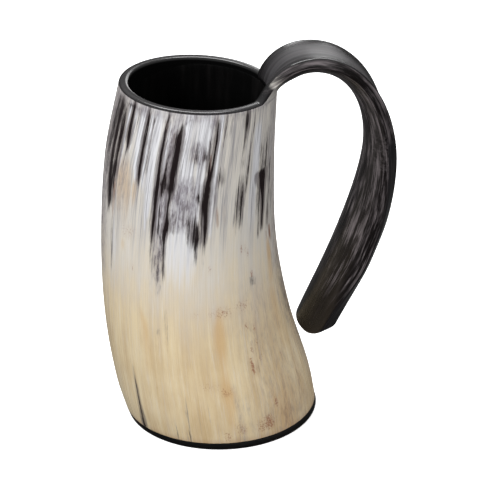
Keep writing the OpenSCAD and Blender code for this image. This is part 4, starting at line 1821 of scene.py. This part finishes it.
@dataclass
class Base:
    """The black disc under the foot, and the resin that holds it."""

    horn: HornForm
    thickness: float = 2.8 * MM
    spigot: float = 5 * MM
    rounding: float = 0.8 * MM
    flat_rings: tuple[float, ...] = (2.4 * MM, 1.04 * MM)
    glue: float = 0.3 * MM
    seam: float = 0.08 * MM
    seat_gap: float = 0.04 * MM
    edge: float = 0.25 * MM
    steps: int = 6

    @property
    def horn_foot(self) -> float:
        """Height where the horn begins."""
        return self.thickness + self.glue

    @property
    def floor(self) -> float:
        """Height of the disc's top inside the horn."""
        return self.thickness + self.spigot

    def disc(self) -> bpy.types.Object:
        """Make the disc with its spigot.

        Returns:
            The piece.
        """
        horn = self.horn
        share = 1 / horn.rim_height
        foot = horn.ring(0.0)
        rings = [foot.pole()] + [foot.drawn_in(inset) for inset in self.flat_rings]
        for turn in np.linspace(0, math.pi / 2, self.steps + 1):
            inset, rise = (self.rounding * (1 - part) for part in (math.sin(turn), math.cos(turn)))
            rings.append(foot.drawn_in(inset, rise))
        rings.append(horn.ring((self.thickness - self.edge) * share))
        rings.append(horn.ring(self.thickness * share, self.edge))
        rings.append(horn.bore(self.thickness * share, self.glue - self.edge))
        rings.append(horn.bore((self.thickness + self.edge) * share, self.glue))
        rings.append(horn.bore((self.floor - self.edge) * share, self.glue))
        top = horn.bore(self.floor * share, self.glue + self.edge)
        rings += [top, top.pole()]
        return RingLoft("black_disc", rings, horn.rim_centre).build(DiscFinish().material())

    def resin(self) -> bpy.types.Object:
        """Make the film of resin between disc and horn.

        Returns:
            The piece.
        """
        horn = self.horn
        low, mid, top = (h / horn.rim_height for h in (self.thickness, self.horn_foot, self.floor))
        rings = [
            horn.ring(low, self.seam),
            horn.ring(mid, self.seam),
            horn.bore(mid, self.seat_gap),
            horn.bore(top, self.seat_gap),
            horn.bore(top, self.glue - self.seat_gap),
            horn.bore(low, self.glue - self.seat_gap),
        ]
        return RingLoft("resin_seam", rings + rings[:1], horn.rim_centre).build(ResinFinish().material())


@dataclass
class Lining:
    """The black coat on the wall and floor inside."""

    horn: HornForm
    floor: float
    coat: float = 0.5 * MM
    top_coat: float = 0.08 * MM
    taper: float = 0.08
    lips_below_rim: float = 2.0
    seat_gap: float = 0.04 * MM
    fillet: float = 2.5 * MM
    wall_rows: int = 36
    steps: int = 6

    def build(self) -> bpy.types.Object:
        """Make the lining.

        Returns:
            The piece.
        """
        horn = self.horn
        low = self.floor / horn.rim_height
        top = 1 - self.lips_below_rim * horn.lip / horn.rim_height
        bottom = horn.bore(low, self.seat_gap)
        rings = [bottom.pole(), bottom.drawn_in(self.fillet)]
        levels = np.linspace(low, top, self.wall_rows + 1)
        rings += [horn.bore(level, self.seat_gap) for level in levels]
        lip = horn.bore(top, self.seat_gap)
        rings.append(lip.drawn_in(0.5 * (self.top_coat - self.seat_gap), 0.5 * self.top_coat))
        corner = (self.floor + self.coat + self.fillet) / horn.rim_height
        for level in levels[::-1]:
            if level > corner:
                coat = mix(self.coat, self.top_coat, float(ease((level - top) / self.taper + 1)))
                rings.append(horn.bore(level, coat))
        base = horn.bore(corner, self.coat)
        for turn in np.linspace(0, math.pi / 2, self.steps + 1):
            rings.append(base.drawn_in(self.fillet * (1 - math.cos(turn)), -self.fillet * math.sin(turn)))
        flat = rings[-1]
        rings += [flat.drawn_in(self.fillet), flat.pole()]
        return RingLoft("black_lining", rings, horn.rim_centre).build(LacquerFinish().material())


@dataclass(frozen=True)
class Softbox:
    """A large soft light that looks at the cup."""

    name: str
    place: tuple[float, float, float]
    size: tuple[float, float]
    power: float
    mirrored: bool = True
    aim: tuple[float, float, float] = (0.01, 0.0, 0.07)

    def hang(self) -> None:
        """Add the light to the scene."""
        lamp = bpy.data.lights.new(self.name, "AREA")
        lamp.shape = "RECTANGLE"
        lamp.size, lamp.size_y = self.size
        lamp.energy = self.power
        holder = bpy.data.objects.new(self.name, lamp)
        holder.location = self.place
        away = Vector(self.place) - Vector(self.aim)
        holder.rotation_euler = away.to_track_quat("Z", "Y").to_euler()
        holder.visible_glossy = self.mirrored
        bpy.context.scene.collection.objects.link(holder)


@dataclass
class Studio:
    """White floor, soft light and the camera."""

    azimuth: float = -8.77
    elevation: float = 28.71
    distance: float = 776 * MM
    lens: float = 157.25
    sensor: float = 36.0
    clip_near: float = 0.01
    aim: tuple[float, float, float] = (10.17 * MM, -1.57 * MM, 63.9 * MM)
    floor_half: float = 4.0
    floor_white: float = 0.88
    floor_glow: float = 0.68
    floor_roughness: float = 0.9
    horizon: float = 0.05
    sky: float = 0.6
    backdrop: float = 0.68
    low_backdrop: float = 0.06
    sky_rise: Band = Band(0.0, 0.9)
    backdrop_rise: Band = Band(0.36, 0.8)
    backdrop_side: Band = Band(0.3, 0.95)
    softboxes: tuple[Softbox, ...] = (
        Softbox("top_softbox", (0.05, 0.42, 1.0), (0.55, 0.35), 6.0),
        Softbox("front_softbox", (-1.2, -0.78, 0.85), (0.8, 0.8), 24.5, False),
        Softbox("fill_softbox", (0.85, -1.0, 0.4), (0.9, 0.9), 10.4, False),
        Softbox("arch_softbox", (0.48, 1.04, 0.5), (0.5, 0.5), 2.1),
    )

    def set_up(self) -> None:
        """Build the whole studio."""
        scene = bpy.context.scene
        scene.view_settings.view_transform = "Standard"
        self._floor()
        self._sky()
        for softbox in self.softboxes:
            softbox.hang()
        self._camera()

    def _floor(self) -> None:
        """Add the white floor."""
        half = self.floor_half
        mesh = bpy.data.meshes.new("floor")
        corners = [(-half, -half, 0), (half, -half, 0), (half, half, 0), (-half, half, 0)]
        mesh.from_pydata(corners, [], [(0, 1, 2, 3)])
        material, g = new_material("white_floor")
        white = (self.floor_white,) * 3
        glow = {"Emission Color": (1.0, 1.0, 1.0), "Emission Strength": self.floor_glow}
        close_material(g, {"Base Color": white, "Roughness": self.floor_roughness, **glow})
        mesh.materials.append(material)
        floor = bpy.data.objects.new("floor", mesh)
        bpy.context.scene.collection.objects.link(floor)
        floor.visible_glossy = False
        floor.visible_diffuse = False

    def _sky(self) -> None:
        """Add a sky that is brighter overhead and behind the cup than round the camera."""
        world = bpy.data.worlds.new("studio")
        world.use_nodes = True
        world.node_tree.nodes.clear()
        g = Graph(world.node_tree)
        way = g.add("ShaderNodeTexCoord", {}, None, "Generated")
        behind, height = g.axis(way, 1), g.axis(way, 2)
        overhead = self.sky_rise.read(g, height) * (self.sky - self.horizon)
        raised = self.backdrop_rise.read(g, height) * (self.backdrop - self.low_backdrop)
        backdrop = self.backdrop_side.read(g, behind) * (self.low_backdrop + raised)
        strength = self.horizon + overhead + backdrop
        sky = g.add("ShaderNodeBackground", {}, {"Color": (1.0, 1.0, 1.0), "Strength": strength})
        g.add("ShaderNodeOutputWorld", {}, {"Surface": sky})
        bpy.context.scene.world = world

    def _camera(self) -> None:
        """Add the camera at the photograph's viewing angle."""
        turn, tilt = math.radians(self.azimuth), math.radians(self.elevation)
        back = Vector((math.sin(turn) * math.cos(tilt), -math.cos(turn) * math.cos(tilt), math.sin(tilt)))
        lens = bpy.data.cameras.new("camera")
        lens.sensor_width = self.sensor
        lens.lens = self.lens
        lens.clip_start = self.clip_near
        camera = bpy.data.objects.new("camera", lens)
        camera.location = Vector(self.aim) + self.distance * back
        camera.rotation_euler = back.to_track_quat("Z", "Y").to_euler()
        bpy.context.scene.collection.objects.link(camera)
        bpy.context.scene.camera = camera


def main() -> None:
    """Build the cup piece by piece, then the studio round it."""
    logging.basicConfig(level=logging.INFO, format="%(name)s: %(message)s")
    horn = HornForm()
    strip = StripForm(horn)
    base = Base(horn)
    tube, handle = HornShell(horn, strip, base.horn_foot, HornFinish()).build()
    dress(tube, "pale_horn", "horn_body")
    dress(handle, "dark_horn", "handle")
    dress(base.disc(), "black_disc", "base_disc")
    dress(base.resin(), "resin", "base_glue")
    dress(Lining(horn, base.floor).build(), "black_lacquer", "inner_lining")
    Studio().set_up()


if __name__ == "__main__":
    main()
